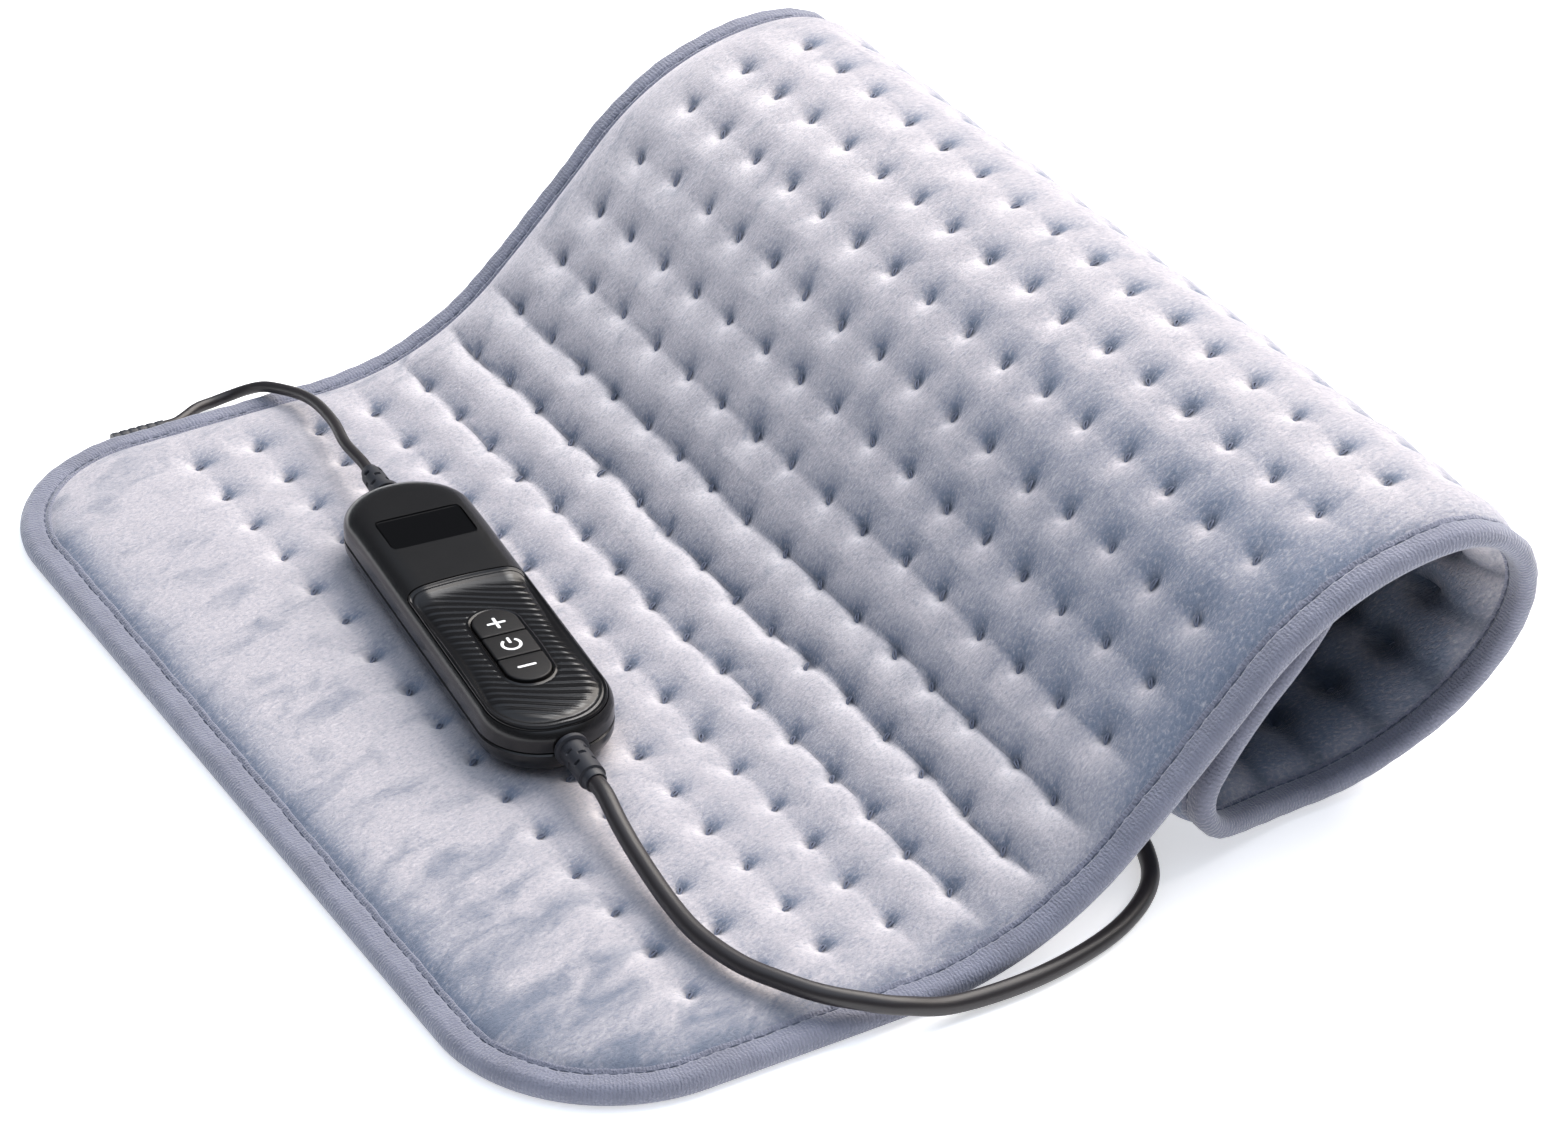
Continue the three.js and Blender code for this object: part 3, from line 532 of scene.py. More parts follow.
def bottom_heights(along, across, sizes):
    """Height of the underside: flat on the table, and swelling into the hollow of the roll between its tufts.

    A dimple is exp(-r / 2.6) and a bell of the distance r from its tuft, and a valley runs along each row.
    The second result is painted shade: how deep each point lies in dimples and valleys, and darker still
    inside the roll.
    """
    tuft, off_along, off_across = nearest_tuft(along, across, UNDER_SEED)
    reach = np.hypot(off_along, off_across)
    free = smoothstep(along, 100.0, 150.0)
    rolled = smoothstep(along, 225.0, 280.0)
    dimple = 2.4 * np.exp(-reach / 2.6) + (0.8 + 0.5 * rolled) * bell(reach, 6.0)
    valley = (0.2 + 1.1 * rolled) * np.exp(-np.abs(off_along) / 2.4)
    crease = (0.8 + 0.5 * rolled) * creases(tuft, off_along, off_across, 23)
    swell = 2.6 + 1.3 * rolled + 0.3 * hills(along, across, 30.0, 24) - dimple - valley - crease
    # Painted shade in dimples and valleys, and all over the inside of the roll
    depth = np.clip((dimple + valley) / 3.2 + 0.48 * rolled, 0.0, 1.0)
    return -free * edge_rise(along, across) * swell, depth * free


def painted_light_and_border(along, across, height):
    """Painted light and shade on the plush, and how far each point is on the plain border.

    The first result paints light where the surface falls towards the roll and the back, the side the light
    comes from, and shade where it rises. It paints shade on the slope, most so at the front, and down the
    back of the roll, and more light towards the pad's back from the bend to the crest. The border counts most
    at the front corner, where its darker strokes paint shade.
    """
    # Painted light and shade: paler where the surface faces the roll and the back, darker where it faces away
    fall_along = -np.gradient(height, axis=0) / np.gradient(along, axis=0)
    fall_across = -np.gradient(height, axis=1) / np.gradient(across, axis=1)
    back = across / PAD_WIDTH
    crest = smoothstep(along, 255.0, 215.0)
    # Painted shade on the slope, darker towards the front, and a touch of painted light across it
    turned = crest * smoothstep(along, 140.0, 180.0) * (0.48 * (1.0 - back) ** 2 - 0.03)
    # Painted light from the bend to the crest, more towards the pad's back
    turned = turned - 0.15 * crest * smoothstep(along, 95.0, 130.0) * back**2
    # Painted shade down the back of the roll
    turned = turned + 0.55 * smoothstep(along, 268.0, 305.0)
    quilted = smoothstep(np.abs(across - PAD_WIDTH / 2), 144.0, 124.0) * smoothstep(along, 34.0, 58.0)
    # Painted shade: the border, and so its darker strokes, counts most towards the front corner
    front_corner = smoothstep(across, 140.0, 20.0) * smoothstep(along, 130.0, 60.0)
    border = (1.0 - quilted) * (0.35 + 0.65 * front_corner)
    return 0.93 * fall_along + 0.37 * fall_across - turned, border


def cover_mesh(heights, other_side, step, sizes):
    """One cover: a fine grid of points on its pile, closed by a plain sheet at the other side's height.

    Each point notes how deep it lies, for painted shade, the painted light and shade of its slope and place,
    and how far it is on the plain border. The grid's rows are shorter round the corners, where they start on
    the circle of the corner.
    """
    rows, columns = (round((size - 2 * COVER_INSET) / step) + 1 for size in (PAD_LENGTH, PAD_WIDTH))
    along = np.linspace(COVER_INSET, PAD_LENGTH - COVER_INSET, rows)[:, None]
    short = np.maximum(CORNER_RADIUS - np.minimum(along, PAD_LENGTH - along), 0.0)
    edge = CORNER_RADIUS - np.sqrt(np.maximum((CORNER_RADIUS - COVER_INSET) ** 2 - short**2, 0.0))
    across = edge + (PAD_WIDTH - 2 * edge) * np.linspace(0.0, 1.0, columns)
    along = np.broadcast_to(along, across.shape)
    height, dimple = heights(along, across, sizes)
    painted_lighting, border = painted_light_and_border(along, across, height)
    pile = pad_place(along, across, height).reshape(-1, 3)
    sheet = pad_place(along[:, [0, -1]], across[:, [0, -1]], other_side).reshape(-1, 3)
    # The sheet's points follow the pile's, two a row
    c = np.arange(columns)
    near = np.arange(rows - 1) * columns
    far = near + columns - 1
    low = len(pile) + 2 * np.arange(rows - 1)
    strips = (
        grid_quads(rows, columns),
        points_of(low, low + 1, low + 3, low + 2),
        points_of(near, near + columns, low + 2, low),
        points_of(far, far + columns, low + 3, low + 1),
    )
    ends = [
        np.append(c, [low[0] + 1, low[0]]),
        np.append(len(pile) - columns + c, [low[-1] + 3, low[-1] + 2]),
    ]
    uv = points_of(along, across) * MM
    uv = np.concatenate([uv.reshape(-1, 2), uv[:, [0, -1]].reshape(-1, 2)])
    mesh = build_mesh(np.concatenate([pile, sheet]), np.concatenate(strips), ends, uv=uv)
    # The dimple and painted lighting attributes paint shade and light in the material
    for pattern, values in {"dimple": dimple, "painted_lighting": painted_lighting, "border": border}.items():
        attribute = mesh.attributes.new(pattern, "FLOAT", "POINT")
        attribute.data.foreach_set("value", np.append(values.ravel(), np.zeros(len(sheet))))
    return mesh


def edge_places(distance, inward):
    """Along and across of places by their distance round the pad's edge and inwards from it."""
    corner = (CORNER_RADIUS * math.pi / 2, 90)
    side = (PAD_LENGTH - 2 * CORNER_RADIUS, 0)
    end = (PAD_WIDTH - 2 * CORNER_RADIUS, 0)
    stretches = [end, corner, side, corner] * 2
    along, across, heading = walk(stretches, distance, (PAD_LENGTH, CORNER_RADIUS), 90.0)
    return along - np.sin(heading) * inward, across + np.cos(heading) * inward


def binding_section():
    """Section of the bound edge as (inward, height): a quarter-round fold with a sewn groove on each face."""
    inward = TAPE_WIDTH * (1.0 - np.linspace(0.0, 1.0, 34)) ** 1.15
    fold = 2.5 * np.sqrt(np.clip(1.0 - (1.0 - np.minimum(inward / 2.6, 1.0)) ** 2, 0.0, 1.0))
    groove = 0.6 * bell(inward - STITCH_LINE, 0.55)
    tucked = 0.55 * smoothstep(inward, TAPE_WIDTH - 0.6, TAPE_WIDTH)
    top = points_of(inward, TAPE_MIDDLE + 1.08 * fold - groove - tucked)
    under = points_of(inward, TAPE_MIDDLE - fold + groove)
    return np.concatenate([top, under[-2::-1]])


def edge_binding_mesh():
    """The section carried round the pad's edge, with the slight swell and pucker of sewn tape."""
    section = binding_section()
    inward, height = section.T
    count, columns = 620, len(section)
    distance = np.arange(count)[:, None] * PAD_ROUND / count
    pucker = 0.05 * np.sin(distance * 2 * np.pi / 7.3) + 0.05 * np.sin(distance * 2 * np.pi / 23.0 + 1.0)
    tall = np.where(height > TAPE_MIDDLE, TAPE_MIDDLE + (height - TAPE_MIDDLE) * (1.0 + pucker), height)
    points = pad_place(*edge_places(distance, inward), tall)
    mesh = build_mesh(points, grid_quads(count, columns, wrap=True, close=True))
    girth = np.append(0.0, np.cumsum(np.hypot(*np.diff(section, axis=0).T)))
    corners = np.zeros(len(mesh.loops), dtype=np.int32)
    mesh.loops.foreach_get("vertex_index", corners)
    ring, place = np.divmod(corners.reshape(-1, 4), columns)
    # The seam's faces run on past the last distance, so that the pattern doesn't turn back there
    ring = np.where(ring.max(axis=1, keepdims=True) - ring > count // 2, ring + count, ring)
    uv = points_of(ring * PAD_ROUND / count, girth[place]) * MM
    mesh.uv_layers.new(name="surface").data.foreach_set("uv", uv.ravel())
    return mesh


def stitches(height, rise):
    """Middle lines of the stitches round the edge, and their ups: each is a low parabola between its ends."""
    count = int(PAD_ROUND / (STITCH_LENGTH + STITCH_GAP))
    start = np.arange(count)[:, None] * PAD_ROUND / count
    t = np.linspace(0.0, 1.0, 6)
    along, across = edge_places((start + t * STITCH_LENGTH) % PAD_ROUND, STITCH_LINE)
    return pad_place(along, across, height + rise * (1.0 - (2 * t - 1.0) ** 2)), pad_up(along)


def tuft_threads(seed, heights, sizes, side, rows):
    """Middle lines of two bowed threads that close to a slim eye at each tuft, and their ups."""
    along, across = (place[rows].reshape(-1, 1) for place in tuft_places(seed))
    heading = np.random.default_rng(seed + 5).normal(0.94, 0.2, along.shape)
    floor = heights(along, across, sizes)[0]
    t = np.linspace(-1.0, 1.0, 7)
    run = 1.45 * t
    lines, ups = [], []
    for way in (-1.0, 1.0):
        aside = way * 0.42 * (1.0 - t**2)
        place_along = along + run * np.sin(heading) + aside * np.cos(heading)
        place_across = across + run * np.cos(heading) - aside * np.sin(heading)
        lines.append(pad_place(place_along, place_across, floor + side * (0.95 - 0.5 * t**2)))
        ups.append(pad_up(place_along))
    return np.concatenate(lines), np.concatenate(ups)


# Materials

# Inputs of the colour form of the Mix node, and its output
FACTOR, FIRST, SECOND, MIXED = 0, 6, 7, 2


def add_node(tree, kind, inputs=None, out=None, **settings):
    """Adds a shader node and gives it, or one of its outputs.

    An input is a value, or another node's output to link to it.
    """
    node = tree.nodes.new("ShaderNode" + kind)
    for name, value in settings.items():
        setattr(node, name, value)
    for name, value in (inputs or {}).items():
        if isinstance(value, bpy.types.NodeSocket):
            tree.links.new(value, node.inputs[name])
        else:
            node.inputs[name].default_value = value
    return node if out is None else node.outputs[out]


def new_material(name, **values):
    """A material, its tree and its surface shader, with plain values on the shader's own sockets."""
    material = bpy.data.materials.new(name)
    material.use_nodes = True
    tree = material.node_tree
    tree.nodes.clear()
    shader = add_node(tree, "BsdfPrincipled", {key.replace("_", " "): value for key, value in values.items()})
    add_node(tree, "OutputMaterial", {"Surface": shader.outputs["BSDF"]})
    return material, tree, shader


def rgba(colour, strength=1.0):
    """A linear colour for a socket, made lighter or darker by a strength."""
    return (*(strength * v for v in colour), 1.0)


def crystal_velvet(mid, light, dark, sheen):
    """Crystal velvet, a short pile combed towards the flat end.

    Its colour holds painted light and shade: falls that face the roll, where the light comes from, are
    painted with pale tips, rises with the bluish depth, and dimples, creases and the inside of the roll are
    painted dark. Darker strokes, as of pile brushed the other way, lie on the plain border, and grow towards
    the front corner as painted shade.
    """
    material, tree, shader = new_material(
        "crystal velvet",
        Roughness=0.8,
        Specular_IOR_Level=0.1,
        Sheen_Weight=0.6,
        Sheen_Roughness=0.35,
        Sheen_Tint=rgba(sheen),
    )
    surface = add_node(tree, "UVMap", out="UV", uv_map="surface")
    # Painted shade, from how deep a point lies in dimples, creases and the inside of the roll
    dimple = add_node(tree, "Attribute", out="Fac", attribute_name="dimple")
    # Painted light and shade, from the slope and place of each point
    painted_lighting = add_node(tree, "Attribute", out="Fac", attribute_name="painted_lighting")
    border = add_node(tree, "Attribute", out="Fac", attribute_name="border")
    # Locks of pile lie along the pad, drawn 0.7 mm wide and twice as long: the fibres are too fine to show
    lengthwise = {"Vector": surface, "Rotation": (0.0, 0.0, 0.25), "Scale": (2.0, 1.0, 1.0)}
    combed = add_node(tree, "Mapping", lengthwise, out="Vector", vector_type="TEXTURE")
    locks = {"Vector": combed, "Scale": 1 / (0.7 * MM), "Detail": 3.0, "Roughness": 0.7, "Distortion": 0.4}
    lock = add_node(tree, "TexNoise", locks, out="Fac")
    # Tousled tufts of pile 2.4 mm wide lean a little either way
    tousles = {"Vector": combed, "Scale": 1 / (2.4 * MM), "Detail": 3.0, "Roughness": 0.6, "Distortion": 0.8}
    tousle = add_node(tree, "TexNoise", tousles, out="Fac")
    spread = add_node(tree, "MapRange", {"Value": tousle, "To Min": -0.13, "To Max": 0.13}, out="Result")
    # Painted light and shade, made a little uneven by the tousled pile
    painted_light_tousled = add_node(tree, "Math", {0: painted_lighting, 1: spread}, out="Value", operation="ADD")
    # Strokes of fingers over the pile, each about 9 mm wide and 20 long
    aslant = {"Vector": surface, "Rotation": (0.0, 0.0, 0.42), "Scale": (2.2, 1.0, 1.0)}
    swept = add_node(tree, "Mapping", aslant, out="Vector", vector_type="TEXTURE")
    strokes = {"Vector": swept, "Scale": 1 / (9.0 * MM), "Detail": 5.0, "Roughness": 0.6, "Distortion": 0.6}
    stroke = add_node(tree, "TexNoise", strokes, out="Fac")
    # The strokes grow on the border, most at the front corner, as painted shade
    on_border = {0: border, 1: 0.25, 2: stroke}
    stroked = add_node(tree, "Math", on_border, out="Value", operation="MULTIPLY_ADD")
    stroke_tone = [0.75 * d + 0.05 * m for d, m in zip(dark, mid)]
    # Each step blends a colour in, from no share at the first number to the most at the second
    steps = (
        # Painted light and painted shade
        (painted_light_tousled, 0.02, 0.45, 0.85, light),
        (painted_light_tousled, -0.02, -0.5, 0.68, dark),
        (lock, 0.5, 0.8, 0.55, dark),
        (lock, 0.48, 0.22, 0.55, light),
        (stroked, 0.59, 0.85, 0.68, stroke_tone),
        # Painted shade in dimples, creases and the inside of the roll
        (dimple, 0.4, 1.0, 0.85, [0.3 * v for v in dark]),
    )
    tone = rgba(mid)
    for pattern, low, high, most, colour in steps:
        span = {"Value": pattern, "From Min": low, "From Max": high, "To Max": most}
        share = add_node(tree, "MapRange", span, out="Result")
        blend = {FACTOR: share, FIRST: tone, SECOND: rgba(colour)}
        tone = add_node(tree, "Mix", blend, out=MIXED, data_type="RGBA")
    ruffle = {"Height": stroke, "Distance": 2.0 * MM, "Strength": 0.3}
    brushed = add_node(tree, "Bump", ruffle, out="Normal")
    fibre = {"Height": lock, "Distance": 0.4 * MM, "Strength": 0.9, "Normal": brushed}
    normal = add_node(tree, "Bump", fibre, out="Normal")
    tree.links.new(tone, shader.inputs["Base Color"])
    tree.links.new(normal, shader.inputs["Normal"])
    return material


def knitted_tape(colour):
    """Knitted polyester tape: fine ribs across it with painted shade in their grooves, under a soft fuzz, a
    little uneven in tone.
    """
    material, tree, shader = new_material(
        "knitted tape", Roughness=0.9, Specular_IOR_Level=0.15, Sheen_Weight=0.5, Sheen_Roughness=0.45
    )
    surface = add_node(tree, "UVMap", out="UV", uv_map="surface")
    # A knitted wale every 0.9 mm, pulled uneven. The wave's scale counts 20 bands in 2 pi
    wale = 2 * math.pi / 20 / (0.9 * MM)
    waves = {"Vector": surface, "Scale": wale, "Distortion": 5.0, "Detail": 3.0, "Detail Scale": 2.5}
    rib = add_node(tree, "TexWave", waves, out="Fac", wave_type="BANDS", bands_direction="X")
    # Fuzz drawn 0.7 mm across, coarser than its fibres so that it shows, and worn patches of 11 mm
    fine = {"Vector": surface, "Scale": 1 / (0.7 * MM), "Detail": 3.0}
    fuzz = add_node(tree, "TexNoise", fine, out="Fac")
    wide = {"Vector": surface, "Scale": 1 / (11.0 * MM), "Detail": 3.0}
    cloud = add_node(tree, "TexNoise", wide, out="Fac")
    # Painted shade: the ribs are darker where their bump sinks between them
    bands = {FACTOR: rib, FIRST: rgba(colour, 0.88), SECOND: rgba(colour)}
    ribbed = add_node(tree, "Mix", bands, out=MIXED, data_type="RGBA")
    patches = {"Value": cloud, "From Min": 0.4, "From Max": 0.75, "To Max": 0.5}
    worn = add_node(tree, "MapRange", patches, out="Result")
    blend = {FACTOR: worn, FIRST: ribbed, SECOND: rgba(colour, 0.6)}
    tone = add_node(tree, "Mix", blend, out=MIXED, data_type="RGBA")
    wales = add_node(tree, "Bump", {"Height": rib, "Distance": 0.16 * MM, "Strength": 0.6}, out="Normal")
    nap = {"Height": fuzz, "Distance": 0.5 * MM, "Strength": 0.8, "Normal": wales}
    normal = add_node(tree, "Bump", nap, out="Normal")
    tree.links.new(tone, shader.inputs["Base Color"])
    tree.links.new(normal, shader.inputs["Normal"])
    return material


def moulded(name, colour, roughness, grain=None, depth=0.02, specular=0.5):
    """A moulded or extruded material: its gloss is a little uneven, with a grain of the given size in mm."""
    material, tree, shader = new_material(name, Specular_IOR_Level=specular)
    place = add_node(tree, "TexCoord", out="Object")
    # Flow marks about 7 mm across
    cloud = add_node(tree, "TexNoise", {"Vector": place, "Scale": 1 / (7.0 * MM), "Detail": 3.0}, out="Fac")
    uneven = {"Value": cloud, "To Min": 0.88 * roughness, "To Max": 1.12 * roughness}
    gloss = add_node(tree, "MapRange", uneven, out="Result")
    blend = {FACTOR: cloud, FIRST: rgba(colour, 1.08), SECOND: rgba(colour, 0.92)}
    tone = add_node(tree, "Mix", blend, out=MIXED, data_type="RGBA")
    tree.links.new(tone, shader.inputs["Base Color"])
    tree.links.new(gloss, shader.inputs["Roughness"])
    if grain:
        fine = {"Vector": place, "Scale": 1 / (grain * MM), "Detail": 2.0}
        pits = add_node(tree, "TexNoise", fine, out="Fac")
        relief = {"Height": pits, "Distance": depth * MM, "Strength": 0.6}
        normal = add_node(tree, "Bump", relief, out="Normal")
        tree.links.new(normal, shader.inputs["Normal"])
    return material


def plated(name, colour, roughness):
    """Plated metal: faint marks of drawing or turning about 1 mm apart in its gloss."""
    material, tree, shader = new_material(name, Base_Color=rgba(colour), Metallic=1.0)
    place = add_node(tree, "TexCoord", out="Object")
    marks = add_node(tree, "TexNoise", {"Vector": place, "Scale": 1 / (1.0 * MM), "Detail": 2.0}, out="Fac")
    uneven = {"Value": marks, "To Min": 0.8 * roughness, "To Max": 1.3 * roughness}
    gloss = add_node(tree, "MapRange", uneven, out="Result")
    tree.links.new(gloss, shader.inputs["Roughness"])
    return material


# Controller


def case_height(inset, along):
    """Height of the upper casing: an upright side, a superellipse shoulder, and ends that fall away."""
    power = 2.4
    t = np.clip(inset / CASE_SHOULDER, 0.0, 1.0)
    shoulder = CASE_SIDE + (CASE_TOP - CASE_SIDE) * (1.0 - (1.0 - t) ** power) ** (1 / power)
    display_end = 1.2 * smoothstep(along, 24.0, 60.0) ** 1.6
    cord_end = 0.9 * smoothstep(-along, 40.0, 60.0) ** 1.6
    return shoulder - (display_end + cord_end) * smoothstep(shoulder, 6.0, CASE_TOP)


def case_rings(insets, heights):
    """Rings of the casing's outline moved inwards by each inset, each at its height."""
    half = rounded_half(CASE_WIDTH, CASE_LENGTH, CASE_RADIUS)
    return inset_rings(*closed_outline(half, 240, (0.0, -CASE_LENGTH / 2)), insets, heights)


def upper_casing_mesh():
    """Rings up the inside, over the rim and on over the shoulder to the middle of the top."""
    rim = CASE_SPLIT + 0.3
    inside = case_rings(
        [CASE_MIDDLE, CASE_WALL, CASE_WALL, 0.35, 0.0, 0.0],
        [9.6, 9.6, rim, rim, CASE_SPLIT + 0.65, 7.0],
    )
    insets = 0.02 + (CASE_MIDDLE - 0.02) * np.linspace(0.0, 1.0, 30) ** 2
    outside = case_rings(insets, np.zeros_like(insets))
    outside[..., 2] = case_height(insets[:, None], outside[..., 1])
    return ring_mesh(controller_place(np.concatenate([inside, outside])))


def lower_casing_mesh():
    """Rings from the inside of the floor over the rim, down the side and under to the middle."""
    insets = [CASE_MIDDLE, CASE_WALL, CASE_WALL, 0.35, 0.0, 0.0, 0.15, 0.6, 1.4, 2.6, 4.2, CASE_MIDDLE]
    heights = [1.8, 1.8, CASE_SPLIT, CASE_SPLIT, CASE_SPLIT - 0.35, 4.2, 3.0, 1.9, 1.0, 0.4, 0.0, 0.0]
    return ring_mesh(controller_place(case_rings(insets, heights)))


def panel_outline(count, shrink=0.0):
    """The panel's outline: a round lower end, straight sides and an arched upper edge with small corners."""
    half_width = PANEL_WIDTH / 2 - shrink
    low = PANEL_LOW_RADIUS - shrink
    arch = math.radians(PANEL_ARCH)
    corner = math.pi / 2 - arch
    reach = half_width - PANEL_CORNER * (1.0 - math.cos(corner))
    half = [
        (half_width - low, 0),
        (low * math.pi / 2, 90),
        (PANEL_SIDE - shrink, 0),
        (PANEL_CORNER * corner, 90.0 - PANEL_ARCH),
        (reach / math.sin(arch) * arch, PANEL_ARCH),
    ]
    return closed_outline(half, count, (0.0, PANEL_START + shrink))[0]


def key_opening(count):
    """Outline of the keys' opening in the panel, a long rounded form."""
    width = KEY_WIDTH + 2 * KEY_CLEARANCE
    half = rounded_half(width, KEY_LENGTH + 2 * KEY_CLEARANCE, width / 2 - 0.01)
    return closed_outline(half, count, (0.0, KEY_CENTRE - KEY_LENGTH / 2 - KEY_CLEARANCE))[0]


def panel_heights(across, along, to_rim, to_keys, sizes):
    """Height of the panel: sunk below the casing's crown by a scoop at its upper end, with slanting ribs.

    A rib is a sharpened cosine of along + 0.45 across, bent a little by slow waves. A bead and a groove
    follow the rim, and a bead follows the key opening. All of these are bells across their lines.
    """
    phase = (along + 0.45 * across + 0.5 * np.sin(across / 4.1 + along / 9.0)) / (sizes.rib_spacing / MM)
    rib = (0.5 + 0.5 * np.cos(2 * np.pi * phase)) ** 1.6 + 0.25 * np.cos(4 * np.pi * phase + 1.0)
    upper_edge = 9.0 - 0.0105 * across**2
    below = np.maximum(upper_edge - along, 0.0)
    sunk = 1.1 - 1.0 * bell(below, 5.0)
    clear = smoothstep(to_rim, 1.8, 6.0) * smoothstep(to_keys, 0.9, 2.2) * smoothstep(below, 4.0, 10.0)
    rim = 0.2 * bell(to_rim - 0.4, 0.3) - 0.15 * bell(to_rim - 1.2, 0.4)
    surround = 0.2 * bell(to_keys - 0.65, 0.3)
    crown = case_height(inside_rounded(across, along, CASE_WIDTH, CASE_LENGTH, CASE_RADIUS), along)
    base = crown - sunk * smoothstep(to_rim, 0.0, 3.0) - 0.1
    return base + sizes.rib_height / MM * rib * clear + rim + surround


def control_panel_mesh(sizes):
    """Rings of points from the key opening out to the rim, closed by a plain underside."""
    count, rings = 420, 84
    inner = key_opening(count)
    outer = panel_outline(count)
    t = np.linspace(0.0, 1.0, rings)[:, None]
    plan = inner + t[..., None] * (outer - inner)
    gap = np.linalg.norm(outer - inner, axis=-1)
    across, along = plan[..., 0], plan[..., 1]
    beside = -inside_rounded(across, along - KEY_CENTRE, KEY_WIDTH, KEY_LENGTH, KEY_WIDTH / 2)
    to_keys = np.minimum(t * gap, beside)
    top = points_of(across, along, panel_heights(across, along, (1.0 - t) * gap, to_keys, sizes))
    under = top[[-1, 0]]
    under[0, :, 2] -= 0.9
    under[1, :, 2] = PANEL_UNDER
    loop = np.concatenate([top, under])
    return build_mesh(controller_place(loop), grid_quads(len(loop), count, wrap=True, close=True))


def display_mesh():
    """The display's pane: its outline carried up over a rounded rim to a face that is a little sunk."""
    half = rounded_half(WINDOW_WIDTH, WINDOW_LENGTH, 1.0)
    outline, inward = closed_outline(half, 160, (0.0, -WINDOW_LENGTH / 2))
    outline = outline + [0.0, WINDOW_CENTRE]
    rings = inset_rings(outline, inward, [0.0, 0.0, 0.12, 0.32, 0.42], [12.4, 13.6, 13.74, 13.74, 13.62])
    return ring_mesh(controller_place(rings))


def key_mesh(outline, inward):
    """A key: its outline carried up, with a rounded top edge and a top that is flat."""
    rings = inset_rings(outline, inward, [0.0, 0.0, 0.05, 0.2, 0.45], [PANEL_UNDER, 13.2, 13.35, 13.47, 13.5])
    return ring_mesh(controller_place(rings))


def key_forms():
    """Outline and inward directions of each key. The outer keys have a round end."""
    half, radius, corner = KEY_MIDDLE / 2, KEY_WIDTH / 2, 0.5
    end = (KEY_LENGTH - KEY_WIDTH) / 2 - half - KEY_SLIT
    quarter = math.pi / 2
    outer = [(radius - corner, 0), (corner * quarter, 90), (end - corner, 0), (radius * quarter, 90)]
    plus, plus_in = closed_outline(outer, 120, (0.0, KEY_CENTRE + half + KEY_SLIT))
    power = closed_outline(rounded_half(KEY_WIDTH, KEY_MIDDLE, corner), 80, (0.0, KEY_CENTRE - half))
    minus = [0.0, KEY_CENTRE] - (plus - [0.0, KEY_CENTRE])
    return {"plus": (plus, plus_in), "power": power, "minus": (minus, -plus_in)}


def bar(width, length, centre, corner=0.3):
    """Outline of a rounded bar about a point on the controller's middle line."""
    outline, _ = closed_outline(rounded_half(width, length, corner), 40, (0.0, -length / 2))
    return outline + [0.0, centre]


def sign_outlines(key):
    """Printed signs, each as outlines of its strokes: plus, minus, and a broken ring with a bar."""
    centre = KEY_CENTRE + {"plus": SIGN_PITCH, "power": 0.0, "minus": -SIGN_PITCH}[key]
    if key == "power":
        angle = np.radians(np.linspace(90 + 38, 450 - 38, 60))
        arc = points_of(np.cos(angle), np.sin(angle))
        ring = np.concatenate([2.5 * arc, 1.8 * arc[::-1]]) + [0.0, centre]
        return [ring, bar(0.7, 2.4, centre + 1.7)]
    level = bar(SIGN_WIDTH, SIGN_STROKE, centre)
    if key == "minus":
        return [level]
    return [level, *(bar(SIGN_STROKE, 1.92, centre + step) for step in (1.34, -1.34))]


def relief_mesh(way, reach, neck, mouth):
    """A turned sleeve on the cord's axis: a collar at the casing, a taper, and a step at its free end.

    Three rows of four slots are taken off its radius, each row half a slot's pitch round from the last.
    """
    sides = 96
    wall = CASE_LENGTH / 2 + 0.4
    collar = [(-2.0, 0.0), (0.0, 0.0), (0.0, 0.75), (0.15, 0.9), (1.2, 0.9), (1.35, 0.75), (1.5, 0.0)]
    taper = points_of(np.linspace(wall + 1.5, reach - 2.4, 60), np.linspace(neck, mouth, 60))
    tip = [(-2.2, -0.55), (-0.3, -0.6), (0.0, -0.8), (0.0, -1.3)]
    profile = np.concatenate([np.add(collar, (wall, neck)), taper, np.add(tip, (reach, mouth))])
    along, radius = profile.T[..., None]
    for k in range(3):
        near = smoothstep(np.abs(along - (wall + 4.2 + 2.4 * k)), 0.5, 0.3)
        around = np.abs(np.mod(4 * ring_angles(sides) + k * np.pi, 2 * np.pi) - np.pi) / 4
        radius = radius - 0.7 * near * smoothstep(around, 0.3, 0.22)
    rings = turned_rings(along, radius, sides) * (way, way, 1.0)
    return ring_mesh(controller_place(rings + CORD_AXIS * UP))


# Cords


def coil_heading(angle):
    """Direction in which the lead runs at an angle on its coil, clockwise from above."""
    return np.array([math.sin(angle), -math.cos(angle), 0.0])


def coil_line():
    """The stored length spirals in, climbs a layer in half a turn and spirals out again."""
    outer = COIL_INNER + COIL_TURNS * COIL_PITCH
    total = 2 * COIL_TURNS + 0.5
    turn = np.linspace(0.0, total, int(total * 72) + 1)
    radius = outer - COIL_PITCH * np.minimum(turn, total - turn)
    angle = np.radians(COIL_START - 360.0 * turn)
    height = COIL_FLOOR + COIL_PITCH * smoothstep((turn - COIL_TURNS) / 0.5, 0.0, 1.0)
    x, y = COIL_CENTRE
    line = points_of(x + radius * np.cos(angle), y + radius * np.sin(angle), height)
    lead_in = line[0] - COIL_TAIL * coil_heading(angle[0])
    lead_out = line[-1] + COIL_TAIL * coil_heading(angle[-1])
    return np.concatenate([[lead_in], line, [lead_out]])


